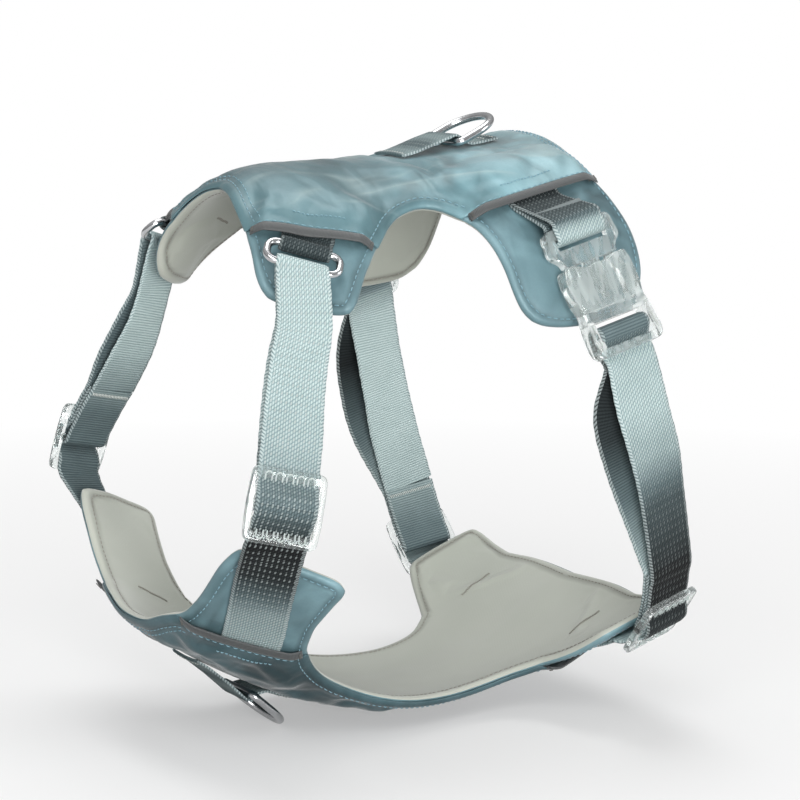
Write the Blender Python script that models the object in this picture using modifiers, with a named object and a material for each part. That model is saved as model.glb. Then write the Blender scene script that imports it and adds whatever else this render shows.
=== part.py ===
"""Padded walking harness for a medium dog: a saddle-shaped back panel, a breast panel, two neck
straps and two girth straps of 25 mm webbing, clear adjusters, clear side-release buckles, two metal
leash rings and two oval neck rings.

+X points to the dog's tail, +Y to its right side, +Z up. Lengths are millimetres until MM scales
them. Panels are laid out flat as (x, s), where s is the arc length across the body from the centre
line, and then wrapped onto a body surface given by a few half cross-sections. Side pieces are
placed for the right side; side is 1 for the right and -1 for its mirror image on the left.
"""

import math

import bmesh
import bpy
import numpy as np
from mathutils import Matrix, Vector

MM = 0.001
HANDS = {1: "right", -1: "left"}

# ---- driving dimensions (mm) ----
ORIGIN_X = 16.586        # the origin is on the centre plane, below the middle of the object
ORIGIN_Z = -133.242      # height of the lowest point in the layout frame
WEB_W = 25.0             # webbing width
WEB_T = 1.3              # webbing thickness
GAP = 0.35               # running gap between touching pieces
FABRIC_T = 0.9           # lining and cover sheets
FOAM_T = 2.3             # padding core
MOUTH_EASE = 0.6         # extra height of a pocket mouth over the webbing in it
TAPE_W = 3.0             # reflective tape along each pocket mouth
RING_WIRE = 3.2          # oval neck ring wire
RING_SPAN = 10.3         # between the two long bars of a neck ring
RING_L = 22.0            # straight part of those bars
RING_CORNER = 4.0        # corner radius of a neck ring, to the wire's centre
DRING_WIRE = 3.4
DRING_W = 27.0           # straight bar of a leash ring
DRING_H = 24.0           # leash ring, bar axis to the far side of the wire's centre
DRING_CORNER = 1.2       # corner cut between the bar and the bow
SLIDER_W, SLIDER_L, SLIDER_T = 31.0, 30.0, 3.0       # three-bar adjuster
BUCKLE_L, BUCKLE_W, BUCKLE_T = 53.0, 37.0, 9.0       # closed side-release buckle

# ---- heights above a panel's middle (mm) ----
SHEET_MID = FOAM_T / 2 + GAP + FABRIC_T / 2          # middle of a tab cover; the lining mirrors it
COVER_MID = SHEET_MID + FABRIC_T + GAP               # main cover, one sheet above the tab covers
LOWER_LEG = SHEET_MID + FABRIC_T / 2 + GAP + WEB_T / 2    # webbing lying on a tab cover
UPPER_LEG = LOWER_LEG + WEB_T + GAP                       # second layer on top of it
RING_STRIP = COVER_MID + FABRIC_T / 2 + GAP + WEB_T / 2   # webbing lying on the main cover

# half cross-sections (y, z) of the body under each panel, at each x
BACK_SECTIONS = {
    -62: [(0, 99.5), (9, 98.3), (16.4, 95.5), (25.2, 90.5), (32.7, 85), (39.2, 79.5),
          (43.5, 74), (46.5, 67), (48.5, 59), (50, 50), (51, 40)],
    -30: [(0, 105), (15, 103), (30, 96), (45, 85.5), (57, 75), (66, 66.5), (75, 58), (83, 50)],
    12: [(0, 107), (20, 105), (35, 100), (50, 91), (62, 80), (71, 68), (78, 54), (82, 40)],
    60: [(0, 112), (20, 110), (40, 104), (55, 96), (68, 85), (78, 72), (84, 56), (87, 40),
         (88, 28)],
    105: [(0, 119), (20, 117), (40, 110), (55, 101), (68, 89), (78, 75), (84, 62), (88, 45),
          (89, 32)],
}
CHEST_SECTIONS = {
    -95: [(0, -81), (12, -80), (23, -76), (37.7, -69.5), (45, -64), (50.4, -59), (54.7, -54),
          (58.6, -49), (62.6, -44), (68.7, -37), (74, -30)],
    -46: [(0, -110), (20, -108), (40, -100), (54, -90), (65, -80), (75, -70), (82.4, -62),
          (88, -56), (94, -49)],
    0: [(0, -123.5), (20, -123), (40, -119.5), (50, -116), (60, -110), (75, -100), (90, -88)],
    40: [(0, -126), (20, -125.5), (40, -122.5), (50, -119.5), (60, -115), (75, -106), (90, -95)],
    80: [(0, -117), (20, -116.5), (40, -113.5), (50, -111), (60, -107.5), (70, -102.5),
         (85, -93)],
    105: [(0, -103), (20, -103), (40, -101), (55, -98.5), (70, -94), (85, -86)],
    130: [(0, -87), (30, -87), (60, -86), (85, -80)],
}

# flat outlines (x, s) of one half of each panel; the mouth lines are where the cover ends and the
# webbing comes out
BACK_OUTLINE = {
    "front": [(-55, 0), (-57, 12), (-59.3, 24), (-61, 37.5)],
    "mouth_front": [(-61, 37.5), (-48, 45), (-38, 52.5), (-26, 60), (-14, 68)],
    "waist": [(-14, 68), (-9, 63), (-4, 58), (3, 53.5), (13, 51.5), (21, 55.5), (28, 63.5)],
    "mouth_rear": [(28, 63.5), (41, 63), (60, 61.5), (78, 59.5), (99, 57.5)],
    "rear": [(99.5, 0), (98.5, 28), (97.5, 46), (99, 57.5)],
    "front_tab": {
        "left": [(-61, 37.5), (-62, 43), (-63, 56), (-61.8, 64), (-59.5, 69.5)],
        "top": [(-59.5, 69.5), (-56, 74), (-48, 83), (-40, 91), (-36, 92.5)],
        "right": [(-14, 68), (-18.5, 73), (-24, 79), (-32, 89.5), (-36, 92.5)]},
    "rear_tab": {
        "left": [(28, 63.5), (31.5, 69), (34.5, 78), (36.5, 89), (38.5, 101), (41.5, 110),
                 (46, 116)],
        "top": [(46, 116), (52, 120), (62, 123), (74, 124), (86, 123.5), (95.5, 119)],
        "right": [(99, 57.5), (102, 74), (104, 88), (103.5, 102), (101, 111), (95.5, 119)]},
}
CHEST_OUTLINE = {
    "front": [(-98.5, 0), (-98, 19), (-96.5, 30), (-94.5, 37)],
    "mouth_front": [(-94.5, 37), (-89.5, 40), (-78, 44.5), (-63, 52), (-45, 62)],
    "waist": [(-45, 62), (-42, 57.5), (-36, 52), (-28, 48.5), (-12, 46.5), (8, 45), (30, 41.5),
              (50, 39.5), (66, 41.5), (77, 49.5)],
    "mouth_rear": [(77, 49.5), (92, 50), (110, 50), (129.5, 50)],
    "rear": [(130.5, 0), (131.5, 18), (131.5, 32), (129.5, 50)],
    "front_tab": {
        "left": [(-94.5, 37), (-93.5, 44), (-92.6, 54), (-91.6, 66), (-90.5, 78), (-88.5, 87),
                 (-86.5, 91.5)],
        "top": [(-86.5, 91.5), (-83.5, 94.5), (-72, 101), (-60, 105.5), (-50, 108.5),
                (-45.5, 106)],
        "right": [(-45, 62), (-46.3, 67), (-47.6, 77), (-47, 86), (-46, 95), (-45, 102),
                  (-45.5, 106)]},
    "rear_tab": {
        "left": [(77, 49.5), (79.5, 56), (82.5, 65), (86, 76), (89, 82)],
        "top": [(89, 82), (93, 84), (108, 84.5), (124, 84), (128.5, 81.5)],
        "right": [(129.5, 50), (130, 61), (130, 75), (128.5, 81.5)]},
}

# base colour, roughness, metallic
FINISHES = {
    "satin": ((0.36, 0.52, 0.58), 0.42, 0.0),
    "lining": ((0.55, 0.57, 0.50), 0.85, 0.0),
    "foam": ((0.75, 0.76, 0.74), 0.9, 0.0),
    "tape": ((0.13, 0.12, 0.115), 0.55, 0.0),
    "webbing": ((0.40, 0.52, 0.53), 0.8, 0.0),
    "webbing_dark": ((0.035, 0.042, 0.047), 0.8, 0.0),
    "chrome": ((0.80, 0.81, 0.82), 0.16, 1.0),
    "clear": ((0.86, 0.90, 0.89), 0.12, 0.0),
}
CLEAR_TRANSMISSION = 0.8


# ---------------------------------------------------------------- scene

for old in list(bpy.data.objects):
    bpy.data.objects.remove(old, do_unlink=True)
PARTS = bpy.data.collections.new("dog_harness")
CUTTERS = bpy.data.collections.new("cutters")
for collection in (PARTS, CUTTERS):
    bpy.context.scene.collection.children.link(collection)


def material(key):
    found = bpy.data.materials.get(key)
    if found is not None:
        return found
    colour, roughness, metallic = FINISHES[key]
    made = bpy.data.materials.new(key)
    made.use_nodes = True
    inputs = made.node_tree.nodes["Principled BSDF"].inputs
    inputs["Base Color"].default_value = (*colour, 1)
    inputs["Roughness"].default_value = roughness
    inputs["Metallic"].default_value = metallic
    if key == "clear":
        inputs["Transmission Weight"].default_value = CLEAR_TRANSMISSION
    return made


def place(point):
    """Layout millimetres to world metres."""
    return (np.asarray(point, float) - np.array([ORIGIN_X, 0, ORIGIN_Z])) * MM


def set_origin(ob, point):
    """Puts the object's origin on a layout point, without moving its mesh."""
    origin = Vector(place(point))
    ob.data.transform(Matrix.Translation(-origin))
    ob.location = origin


def add_part(name, bm):
    """A new object from a bmesh, with its faces turned outward."""
    bmesh.ops.recalc_face_normals(bm, faces=bm.faces)
    mesh = bpy.data.meshes.new(name)
    bm.to_mesh(mesh)
    bm.free()
    ob = bpy.data.objects.new(name, mesh)
    PARTS.objects.link(ob)
    return ob


def dress(ob, key, sharp_angle=35):
    ob.data.materials.clear()
    ob.data.materials.append(material(key))
    ob.data.shade_smooth()
    ob.data.set_sharp_from_angle(angle=math.radians(sharp_angle))


# ---------------------------------------------------------------- vectors and curves

def unit(v):
    """A vector, or each vector of an array, scaled to length 1."""
    v = np.asarray(v, float)
    return v / np.linalg.norm(v, axis=-1, keepdims=True)


def square_to(axis, v):
    """The unit vector nearest to v at right angles to a unit axis."""
    v = np.asarray(v, float)
    return unit(v - axis * (v @ axis))


def outward(v):
    """v or its opposite, whichever points away from the body on the right side."""
    return v if v[1] > 0 else -v


def mirror(v, side):
    return np.asarray(v, float) * [1, side, 1]


def arc(centre, e1, e2, radius, start, end, steps):
    """Points on a circle in the plane of e1 and e2, angles in degrees from e1 towards e2."""
    angles = np.radians(np.linspace(start, end, steps + 1))[:, None]
    spokes = np.cos(angles) * np.asarray(e1) + np.sin(angles) * np.asarray(e2)
    return np.asarray(centre, float) + radius * spokes


def catmull(points, t):
    """Catmull-Rom spline through the points at parameters t in 0 .. len(points) - 1."""
    points = np.asarray(points, float)
    last = len(points) - 1
    t = np.clip(np.asarray(t, float), 0, last - 1e-9)
    i = np.floor(t).astype(int)
    f = (t - i)[..., None]

    def point(k):
        return points[np.clip(k, 0, last)]

    p1, p2 = point(i), point(i + 1)
    p0 = np.where((i < 1)[..., None], 2 * p1 - p2, point(i - 1))
    p3 = np.where((i + 2 > last)[..., None], 2 * p2 - p1, point(i + 2))
    return 0.5 * (2 * p1 + (p2 - p0) * f + (2 * p0 - 5 * p1 + 4 * p2 - p3) * f ** 2
                  + (3 * p1 - p0 - 3 * p2 + p3) * f ** 3)


def arc_lengths(curve):
    return np.r_[0, np.cumsum(np.linalg.norm(np.diff(curve, axis=0), axis=1))]


def interpolate(at, known, values):
    """np.interp for every column of values."""
    return np.stack([np.interp(at, known, column) for column in values.T], -1)


def resample(points, steps):
    """steps + 1 points at equal arc lengths on the spline through the points."""
    curve = catmull(points, np.linspace(0, len(points) - 1, 40 * len(points)))
    lengths = arc_lengths(curve)
    return interpolate(np.linspace(0, lengths[-1], steps + 1), lengths, curve)


# ---------------------------------------------------------------- body surfaces

SURFACE_REACH = 132      # greatest s; a section is sampled at every whole millimetre up to it
SECTION_SAMPLES = 600    # points on a section's spline
END_SAMPLES = 30         # of these, the number that sets the direction beyond the section's end
NORMAL_REACH = 1.5       # distance to the neighbours that give a normal


def section_row(section):
    """Points of one half section at each whole arc length, carried on straight past its end."""
    half = np.array(section, float)
    whole = np.vstack([half[1:][::-1] * [-1, 1], half])
    curve = catmull(whole, np.linspace(len(half) - 1, len(whole) - 1, SECTION_SAMPLES))
    lengths = arc_lengths(curve)
    s = np.arange(SURFACE_REACH + 1.0)
    row = interpolate(s, lengths, curve)
    end = unit(curve[-1] - curve[-END_SAMPLES])
    over = s > lengths[-1]
    row[over] = curve[-1] + end * (s[over] - lengths[-1])[:, None]
    return row


class BodySurface:
    """A surface through half cross-sections, addressed by x and by signed arc length s.

    middle is the height of the panel's middle above the surface, and outward is 1 or -1, the sign
    that turns the surface's normals away from the body.
    """

    def __init__(self, sections, middle, outward):
        self.middle = middle
        self.outward = outward
        self.stations = np.array(sorted(sections), float)
        self.rows = np.array([section_row(sections[x]) for x in sorted(sections)])

    def point(self, x, s):
        x, s = np.broadcast_arrays(np.asarray(x, float), np.asarray(s, float))
        reach = np.clip(np.abs(s), 0, SURFACE_REACH - 1e-6)
        j = np.floor(reach).astype(int)
        f = (reach - j)[..., None]
        last = len(self.stations) - 1
        i = np.clip(np.searchsorted(self.stations, x, side="right") - 1, 0, last - 1)

        def row(k):
            k = np.clip(k, 0, last)
            return self.rows[k, j] * (1 - f) + self.rows[k, j + 1] * f

        def station(k):
            return self.stations[np.clip(k, 0, last)][..., None]

        # cubic Hermite between stations; the slopes become one-sided at the end stations
        x1, x2 = station(i), station(i + 1)
        p1, p2 = row(i), row(i + 1)
        slope1 = (p2 - row(i - 1)) / (x2 - station(i - 1))
        slope2 = (row(i + 2) - p1) / (station(i + 2) - x1)
        span = x2 - x1
        t = (x[..., None] - x1) / span
        yz = ((2 * t ** 3 - 3 * t ** 2 + 1) * p1 + (t ** 3 - 2 * t ** 2 + t) * span * slope1
              + (3 * t ** 2 - 2 * t ** 3) * p2 + (t ** 3 - t ** 2) * span * slope2)
        return np.stack([x, yz[..., 0] * np.where(s < 0, -1, 1), yz[..., 1]], -1)

    def normal(self, x, s):
        along_x = self.point(x + NORMAL_REACH, s) - self.point(x - NORMAL_REACH, s)
        along_s = self.point(x, s + NORMAL_REACH) - self.point(x, s - NORMAL_REACH)
        return unit(np.cross(along_x, along_s)) * self.outward

    def above(self, x, s, height):
        """Points at a height above the middle of the panel."""
        offset = self.middle + np.asarray(height, float)[..., None]
        return self.point(x, s) + self.normal(x, s) * offset


# the back sections give the back panel's inner-to-outer reference, half a panel above its middle
BACK = BodySurface(BACK_SECTIONS, middle=-(SHEET_MID + FABRIC_T / 2), outward=1)
CHEST = BodySurface(CHEST_SECTIONS, middle=-2.0, outward=-1)


# ---------------------------------------------------------------- panels

END_CELLS = 5            # mesh cells from the spine to a mouth
TAB_CELLS = 4            # mesh cells along a tab
TAPE_CELLS = 10          # mesh cells along a tape
TAPE_OFFSET = 0.35       # from the mouth line to the tape
TAB_INSET = 7.0          # reach of a tab cover under the main cover
TAB_INSET_TURN = 0.65    # how far that reach turns from the tab's own direction to the spine
MOUTH_RAMP = 0.15        # part of a mouth's length over which the cover rises at each end
MOUTH_FULL_DEPTH = 10    # the cover is fully lifted this far inside the mouth
MOUTH_FALL_DEPTH = 26    # and comes down over this further distance


def coons(bottom, top, left, right):
    """Fills a four-sided patch: bottom and top run left to right, left and right bottom to top."""
    u = np.linspace(0, 1, len(bottom))[:, None, None]
    v = np.linspace(0, 1, len(left))[None, :, None]
    corners = ((1 - u) * (1 - v) * bottom[0] + u * (1 - v) * bottom[-1]
               + (1 - u) * v * top[0] + u * v * top[-1])
    across = (1 - v) * bottom[:, None, :] + v * top[:, None, :]
    return across + (1 - u) * left[None] + u * right[None] - corners


def tab_grid(tab, base):
    return coons(base, resample(tab["top"], len(base) - 1),
                 resample(tab["left"], TAB_CELLS), resample(tab["right"], TAB_CELLS))


def layout(outline, mouth_front_cells, waist_cells, mouth_rear_cells):
    """(x, s) grids of one half panel: the body under the cover, and its two tabs."""
    mouth_front = resample(outline["mouth_front"], mouth_front_cells)
    waist = resample(outline["waist"], waist_cells)
    mouth_rear = resample(outline["mouth_rear"], mouth_rear_cells)
    edge = np.vstack([mouth_front, waist[1:], mouth_rear[1:]])
    front, rear = resample(outline["front"], END_CELLS), resample(outline["rear"], END_CELLS)
    along = (edge[:, 0] - edge[0, 0]) / (edge[-1, 0] - edge[0, 0])
    spine_x = front[0, 0] + (rear[0, 0] - front[0, 0]) * along
    spine = np.stack([spine_x, np.zeros(len(edge))], -1)
    return (coons(spine, edge, front, rear), tab_grid(outline["front_tab"], mouth_front),
            tab_grid(outline["rear_tab"], mouth_rear))


def sheet(name, key, pieces, thickness):
    """A sheet from grids of layout points that may share edges, welded and thickened both ways."""
    bm = bmesh.new()
    for piece in pieces:
        nu, nv = piece.shape[0] - 1, piece.shape[1] - 1
        grid = bmesh.ops.create_grid(bm, x_segments=nu, y_segments=nv, size=1.0)
        for vert in grid["verts"]:
            i, j = round((vert.co.x + 1) / 2 * nu), round((vert.co.y + 1) / 2 * nv)
            vert.co = Vector(place(piece[i, j]))
    bmesh.ops.remove_doubles(bm, verts=bm.verts, dist=0.00002)
    ob = add_part(name, bm)
    ob.data.materials.append(material(key))
    solidify = ob.modifiers.new("thickness", "SOLIDIFY")
    solidify.thickness = thickness * MM
    solidify.offset = 0.0
    solidify.use_even_offset = True
    ob.data.shade_smooth()


def wrap(surface, grid, height, side):
    """A flat (x, s) grid laid on one side of the surface."""
    return surface.above(grid[..., 0], grid[..., 1] * side, height)


def both_sides(surface, grids, height):
    return [wrap(surface, grid, height, side) for grid in grids for side in HANDS]


def ease(t):
    t = np.clip(t, 0, 1)
    return t * t * (3 - 2 * t)


def cover_heights(grid, outline, peak):
    """Heights of the main cover: close to the padding at the spine, lifted over the webbing in the
    middle of each mouth, and back down to the tab cover at the mouth's ends."""
    heights = np.full(grid.shape[:2], COVER_MID)
    for key in ("mouth_front", "mouth_rear"):
        start, end = np.array(outline[key], float)[[0, -1]]
        direction = unit(end - start)
        along = ((grid - start) @ direction) / np.linalg.norm(end - start)
        depth = (grid - start) @ np.array([direction[1], -direction[0]])
        lift = (ease(along / MOUTH_RAMP) * ease((1 - along) / MOUTH_RAMP)
                * ease(1 - (depth - MOUTH_FULL_DEPTH) / MOUTH_FALL_DEPTH))
        heights = np.maximum(heights, COVER_MID + (peak - COVER_MID) * lift)
    return heights


def tab_cover_grid(grid):
    """The tab grid with one more row reaching under the main cover."""
    first = grid[:, 0]
    straight = first + unit(first - grid[:, 1]) * TAB_INSET
    to_spine = first + np.array([0, -TAB_INSET])
    inner = straight * (1 - TAB_INSET_TURN) + to_spine * TAB_INSET_TURN
    return np.concatenate([inner[:, None], grid], axis=1)


def tape_grid(mouth):
    """Two rows of points, one for each edge of the tape along a mouth line."""
    line = resample(mouth, TAPE_CELLS)
    direction = unit(np.gradient(line, axis=0))
    beyond = np.stack([-direction[:, 1], direction[:, 0]], -1)
    return line, np.stack([line + beyond * TAPE_OFFSET,
                           line + beyond * (TAPE_OFFSET + TAPE_W)], 1)


def panel(prefix, surface, outline, cells, webbing_layers):
    """Lining, foam and main cover in one piece each, then the tab covers and tapes by side."""
    body, front, rear = layout(outline, *cells)
    whole = (body, front, rear)
    sheet(prefix + "_lining", "lining", both_sides(surface, whole, -SHEET_MID), FABRIC_T)
    sheet(prefix + "_foam", "foam", both_sides(surface, whole, 0.0), FOAM_T)
    peak = SHEET_MID + FABRIC_T + GAP + webbing_layers * (WEB_T + GAP) + MOUTH_EASE
    lifted = cover_heights(body, outline, peak)
    sheet(prefix + "_cover", "satin", both_sides(surface, (body,), lifted), FABRIC_T)
    for grid, where in ((front, "front"), (rear, "rear")):
        cover = tab_cover_grid(grid)
        line, tape = tape_grid(outline["mouth_" + where])
        tape_height = cover_heights(line[:, None, :], outline, peak)
        for side, hand in HANDS.items():
            sheet(f"{prefix}_{where}_tab_cover_{hand}", "satin",
                  [wrap(surface, cover, SHEET_MID, side)], FABRIC_T)
            sheet(f"{prefix}_{where}_tape_{hand}", "tape",
                  [wrap(surface, tape, tape_height, side)], FABRIC_T)


# ---------------------------------------------------------------- webbing

ROW = np.linspace(-0.5, 0.5, 3)      # places of a row's points across a strip, in widths


def strip(name, key, rows):
    """A closed strip of webbing from rows of points: two skins, joined all round the rim."""
    step = unit(np.diff(rows, axis=0))
    along = np.concatenate([step[:1], step[1:] + step[:-1], step[-1:]])
    normals = unit(np.cross(along, np.gradient(rows, axis=1)))
    bm = bmesh.new()
    skins = [[[bm.verts.new(place(p)) for p in row] for row in rows + normals * offset]
             for offset in (WEB_T / 2, -WEB_T / 2)]
    m, c = rows.shape[:2]
    for skin, flip in zip(skins, (False, True)):
        for i in range(m - 1):
            for j in range(c - 1):
                quad = [skin[i][j], skin[i + 1][j], skin[i + 1][j + 1], skin[i][j + 1]]
                bm.faces.new(quad[::-1] if flip else quad)
    rim = [(i, 0) for i in range(m)]
    rim += [(m - 1, j) for j in range(1, c)]
    rim += [(i, c - 1) for i in range(m - 2, -1, -1)]
    rim += [(0, j) for j in range(c - 2, 0, -1)]
    for k in range(len(rim)):
        (i, j), (p, q) = rim[k - 1], rim[k]
        bm.faces.new([skins[0][i][j], skins[0][p][q], skins[1][p][q], skins[1][i][j]])
    dress(add_part(name, bm), key, sharp_angle=50)


def ribbon_rows(points, across, width, step):
    """Rows across webbing that follows the points; spans much longer than step are divided."""
    points = np.asarray(points, float)
    knots = np.arange(len(points))
    t = [0.0]
    for k in knots[:-1]:
        cuts = max(1, int(round(np.linalg.norm(points[k + 1] - points[k]) / step)))
        t += [k + (i + 1) / cuts for i in range(cuts)]
    centres = catmull(points, t)
    tangents = unit(np.gradient(centres, axis=0))
    cross = interpolate(t, knots, np.asarray(across, float))
    cross = unit(cross - tangents * (cross * tangents).sum(1, keepdims=True))
    widths = np.interp(t, knots, np.broadcast_to(np.asarray(width, float), len(points)))
    return centres[:, None, :] + cross[:, None, :] * widths[:, None, None] * ROW[None, :, None]


def ribbon(name, key, points, across, width, step, side, laid_rows=None):
    """Webbing along right-side points, on either side; laid_rows are joined at its end.

    across has a direction for each point, and width is one number or one for each point.
    """
    rows = ribbon_rows(points, across, width, step)
    if laid_rows is not None:
        rows = np.concatenate([rows, laid_rows])
    strip(f"{name}_{HANDS[side]}", key, mirror(rows, side))


def laid_on_chest(path, across):
    """Rows of webbing on the breast panel; path is (x, s, height), across a flat direction."""
    path = np.array(path, float)
    grid = path[:, None, :2] + unit(across) * (ROW * WEB_W)[None, :, None]
    return CHEST.above(grid[..., 0], grid[..., 1], path[:, 2:])


def pocket_legs(legs, upper_lift, lower_lift):
    """Two legs of webbing in a back pocket: the outer one coming out, the inner one going in.

    legs is (x, s) from inside the pocket outwards; the lifts raise the ends outside the pocket.
    """
    x, s = np.array(legs).T
    return (BACK.above(x, s, [UPPER_LEG, UPPER_LEG, UPPER_LEG + upper_lift]),
            BACK.above(x[::-1], s[::-1], [LOWER_LEG + lower_lift, LOWER_LEG, LOWER_LEG]))


def extended(path, distance):
    """The point that lies this far beyond the start of a path."""
    return path[0] + unit(path[0] - path[1]) * distance


# ---------------------------------------------------------------- hard pieces

class Frame:
    """A piece's place on the right side of the dog, or on the centre plane.

    Local x runs across the piece, y down it and z outward.
    """

    def __init__(self, centre, down, across):
        self.centre = np.array(centre, float)
        self.down = unit(down)
        self.across = square_to(self.down, across)
        self.out = outward(np.cross(self.down, self.across))

    def at(self, down, out=0.0, across=0.0):
        return self.centre + self.down * down + self.out * out + self.across * across

    def trace(self, profile):
        """Layout points of a (down, out) profile."""
        return np.array([self.at(*point) for point in profile])

    def settle(self, ob, side):
        """Moves a local mesh into place; mirroring turns faces inside out, so they flip back."""
        matrix = Matrix.Identity(4)
        for k, axis in enumerate((self.across, self.down, self.out)):
            matrix.col[k] = (*mirror(axis, side), 0)
        matrix.col[3] = (*place(mirror(self.centre, side)), 1)
        ob.data.transform(matrix)
        if matrix.determinant() < 0:
            ob.data.flip_normals()


def curve_part(name, curve, points):
    """A welded mesh from a curve with one closed spline through local points."""
    spline = curve.splines.new("POLY")
    spline.points.add(len(points) - 1)
    for spline_point, (x, y, z) in zip(spline.points, points):
        spline_point.co = (x * MM, y * MM, z * MM, 1)
    spline.use_cyclic_u = True
    holder = bpy.data.objects.new(name + "_curve", curve)
    PARTS.objects.link(holder)
    depsgraph = bpy.context.evaluated_depsgraph_get()
    mesh = bpy.data.meshes.new_from_object(holder.evaluated_get(depsgraph))
    bpy.data.objects.remove(holder, do_unlink=True)
    bm = bmesh.new()
    bm.from_mesh(mesh)
    bpy.data.meshes.remove(mesh)
    bmesh.ops.remove_doubles(bm, verts=bm.verts, dist=0.00001)
    return add_part(name, bm)


def plate(name, outline, thickness):
    """A flat local outline (x, y), filled and extruded equally both ways."""
    curve = bpy.data.curves.new(name, "CURVE")
    curve.dimensions = "2D"
    curve.fill_mode = "BOTH"
    curve.extrude = thickness / 2 * MM
    return curve_part(name, curve, [(x, y, 0) for x, y in outline])


def wire_ring(name, points, wire, frame, side=1):
    """A closed ring of round chrome wire, with its origin at the frame's centre."""
    curve = bpy.data.curves.new(name, "CURVE")
    curve.dimensions = "3D"
    curve.bevel_depth = wire / 2 * MM
    curve.bevel_resolution = 2
    ring = curve_part(name, curve, points)
    ring.data.shade_smooth()
    frame.settle(ring, side)
    ring.data.materials.append(material("chrome"))
    set_origin(ring, mirror(frame.centre, side))


def symmetric(half):
    """The whole outline from the corners (x, y, radius) of its +x half, in order of y."""
    other = [(-x, y, radius) for x, y, radius in half]
    return other[:1] + half + other[:0:-1]


def rounded(corners, steps):
    """The outline with each corner (x, y, radius) replaced by a curve of about that radius."""
    radii = [corner[2] for corner in corners]
    points = np.array(corners, float)[:, :2]
    outline = []
    for k, (corner, radius) in enumerate(zip(points, radii)):
        if radius == 0:
            outline.append(corner)
            continue
        back = unit(points[k - 1] - corner)
        ahead = unit(points[(k + 1) % len(points)] - corner)
        for t in np.linspace(0, 1, steps + 1):
            outline.append(corner + back * radius * (1 - t) ** 2 + ahead * radius * t ** 2)
    return outline


def cutter_box(name, half_width, y_range, z_range):
    """A hidden box, local millimetres, centred on x = 0."""
    bpy.ops.mesh.primitive_cube_add(size=1)
    ob = bpy.context.object
    ob.name = name
    low, high = np.array([(-half_width, half_width), y_range, z_range], float).T
    move = Matrix.Translation(Vector((low + high) / 2 * MM))
    ob.data.transform(move @ Matrix.Diagonal((*((high - low) * MM), 1)))
    for linked in list(ob.users_collection):
        linked.objects.unlink(ob)
    CUTTERS.objects.link(ob)
    ob.hide_render = True
    ob.display_type = "WIRE"
    return ob


def carve(ob, bevel_width, bevel_segments, boxes):
    """Bevels the part, cuts or adds its boxes in order, and keeps the result as plain mesh.

    Each box is (operation, name, half width, y range, z range).
    """
    bevel = ob.modifiers.new("edge", "BEVEL")
    bevel.width = bevel_width * MM
    bevel.segments = bevel_segments
    bevel.limit_method = "ANGLE"
    bevel.angle_limit = math.radians(40)
    for operation, *box in boxes:
        boolean = ob.modifiers.new(operation.lower(), "BOOLEAN")
        boolean.operation = operation
        boolean.object = cutter_box(*box)
    depsgraph = bpy.context.evaluated_depsgraph_get()
    mesh = bpy.data.meshes.new_from_object(ob.evaluated_get(depsgraph))
    ob.modifiers.clear()
    ob.data = mesh


# ---------------------------------------------------------------- leash rings on the centre line

BACK_RING_BAR = (55.5, 0.0, 115.2)
BACK_RING_DIRECTION = (25.0, 0.0, 11.8)
CHEST_RING_BAR = (-47.0, 0.0, -115.6)
CHEST_RING_DIRECTION = (18.0, 0.0, -16.0)
RING_STRIP_W = 23.0      # webbing that holds a leash ring
RING_STRIP_EASE = 0.3    # extra radius of that webbing round the bar
RING_STRIP_LIFT = 0.05   # its height over the cover where it lies flat


def leash_ring(name, bar, direction):
    """A D-shaped ring: the bar, then round the bow, with y away from the bar."""
    half = DRING_W / 2
    inner = half - DRING_CORNER
    straight = [(x, 0, 0) for x in (-inner, -half / 3, half / 3, inner)]
    bow = arc((0, DRING_H - half, 0), (1, 0, 0), (0, 1, 0), half, 0, 180, 12)
    loop = [*straight, (half, DRING_CORNER, 0), *bow, (-half, DRING_CORNER, 0)]
    wire_ring(name, loop, DRING_WIRE, Frame(bar, direction, (0, 1, 0)))


def ring_webbing(name, surface, bar, front_stations, turn, rear_xs):
    """Webbing on the centre line that humps up, goes over a leash ring's bar and lies down again.

    Its edges follow the panel where it lies and stay straight across on the bar. The stations
    before the bar are (x, lift), and turn is the first and last angle on the bar.
    """
    s = ROW * RING_STRIP_W
    radius = DRING_WIRE / 2 + GAP + WEB_T / 2 + RING_STRIP_EASE
    rows = [surface.above(x, s, RING_STRIP + lift) for x, lift in front_stations]
    rows += [point + np.outer(s, (0, 1.0, 0))
             for point in arc(bar, (1, 0, 0), (0, 0, 1), radius, *turn, 5)]
    rows += [surface.above(x, s, RING_STRIP + RING_STRIP_LIFT) for x in rear_xs]
    strip(name, "webbing_dark", np.array(rows))


# ---------------------------------------------------------------- oval neck rings

# a neck ring's centre is on its upper bar, which hangs on the panel's loop; the lower bar carries
# the neck strap
NECK_RING_ACROSS = unit((0.855, 0.443, -0.27))
NECK_RING = Frame((-45.5, 55.5, 78.0), square_to(NECK_RING_ACROSS, (-0.12, 0.72, -0.68)),
                  NECK_RING_ACROSS)
RING_WEB_W = RING_L - 0.8                            # webbing narrowed to pass a ring
RING_TURN = RING_WIRE / 2 + GAP + WEB_T / 2 + 0.05   # radius of webbing round a ring's bar
LOOP_LEGS = [(-35.7, 48.9), (-38.6, 52.8), (-41.3, 56.4)]      # (x, s)


def neck_ring(side):
    half, near, far = RING_L / 2, RING_CORNER, RING_SPAN - RING_CORNER
    loop = []
    for x, y, start in ((half, near, -90), (half, far, 0), (-half, far, 90), (-half, near, 180)):
        loop += list(arc((x, y, 0), (1, 0, 0), (0, 1, 0), RING_CORNER, start, start + 90, 3))
    wire_ring(f"neck_ring_{HANDS[side]}", loop, RING_WIRE, NECK_RING, side)


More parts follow.
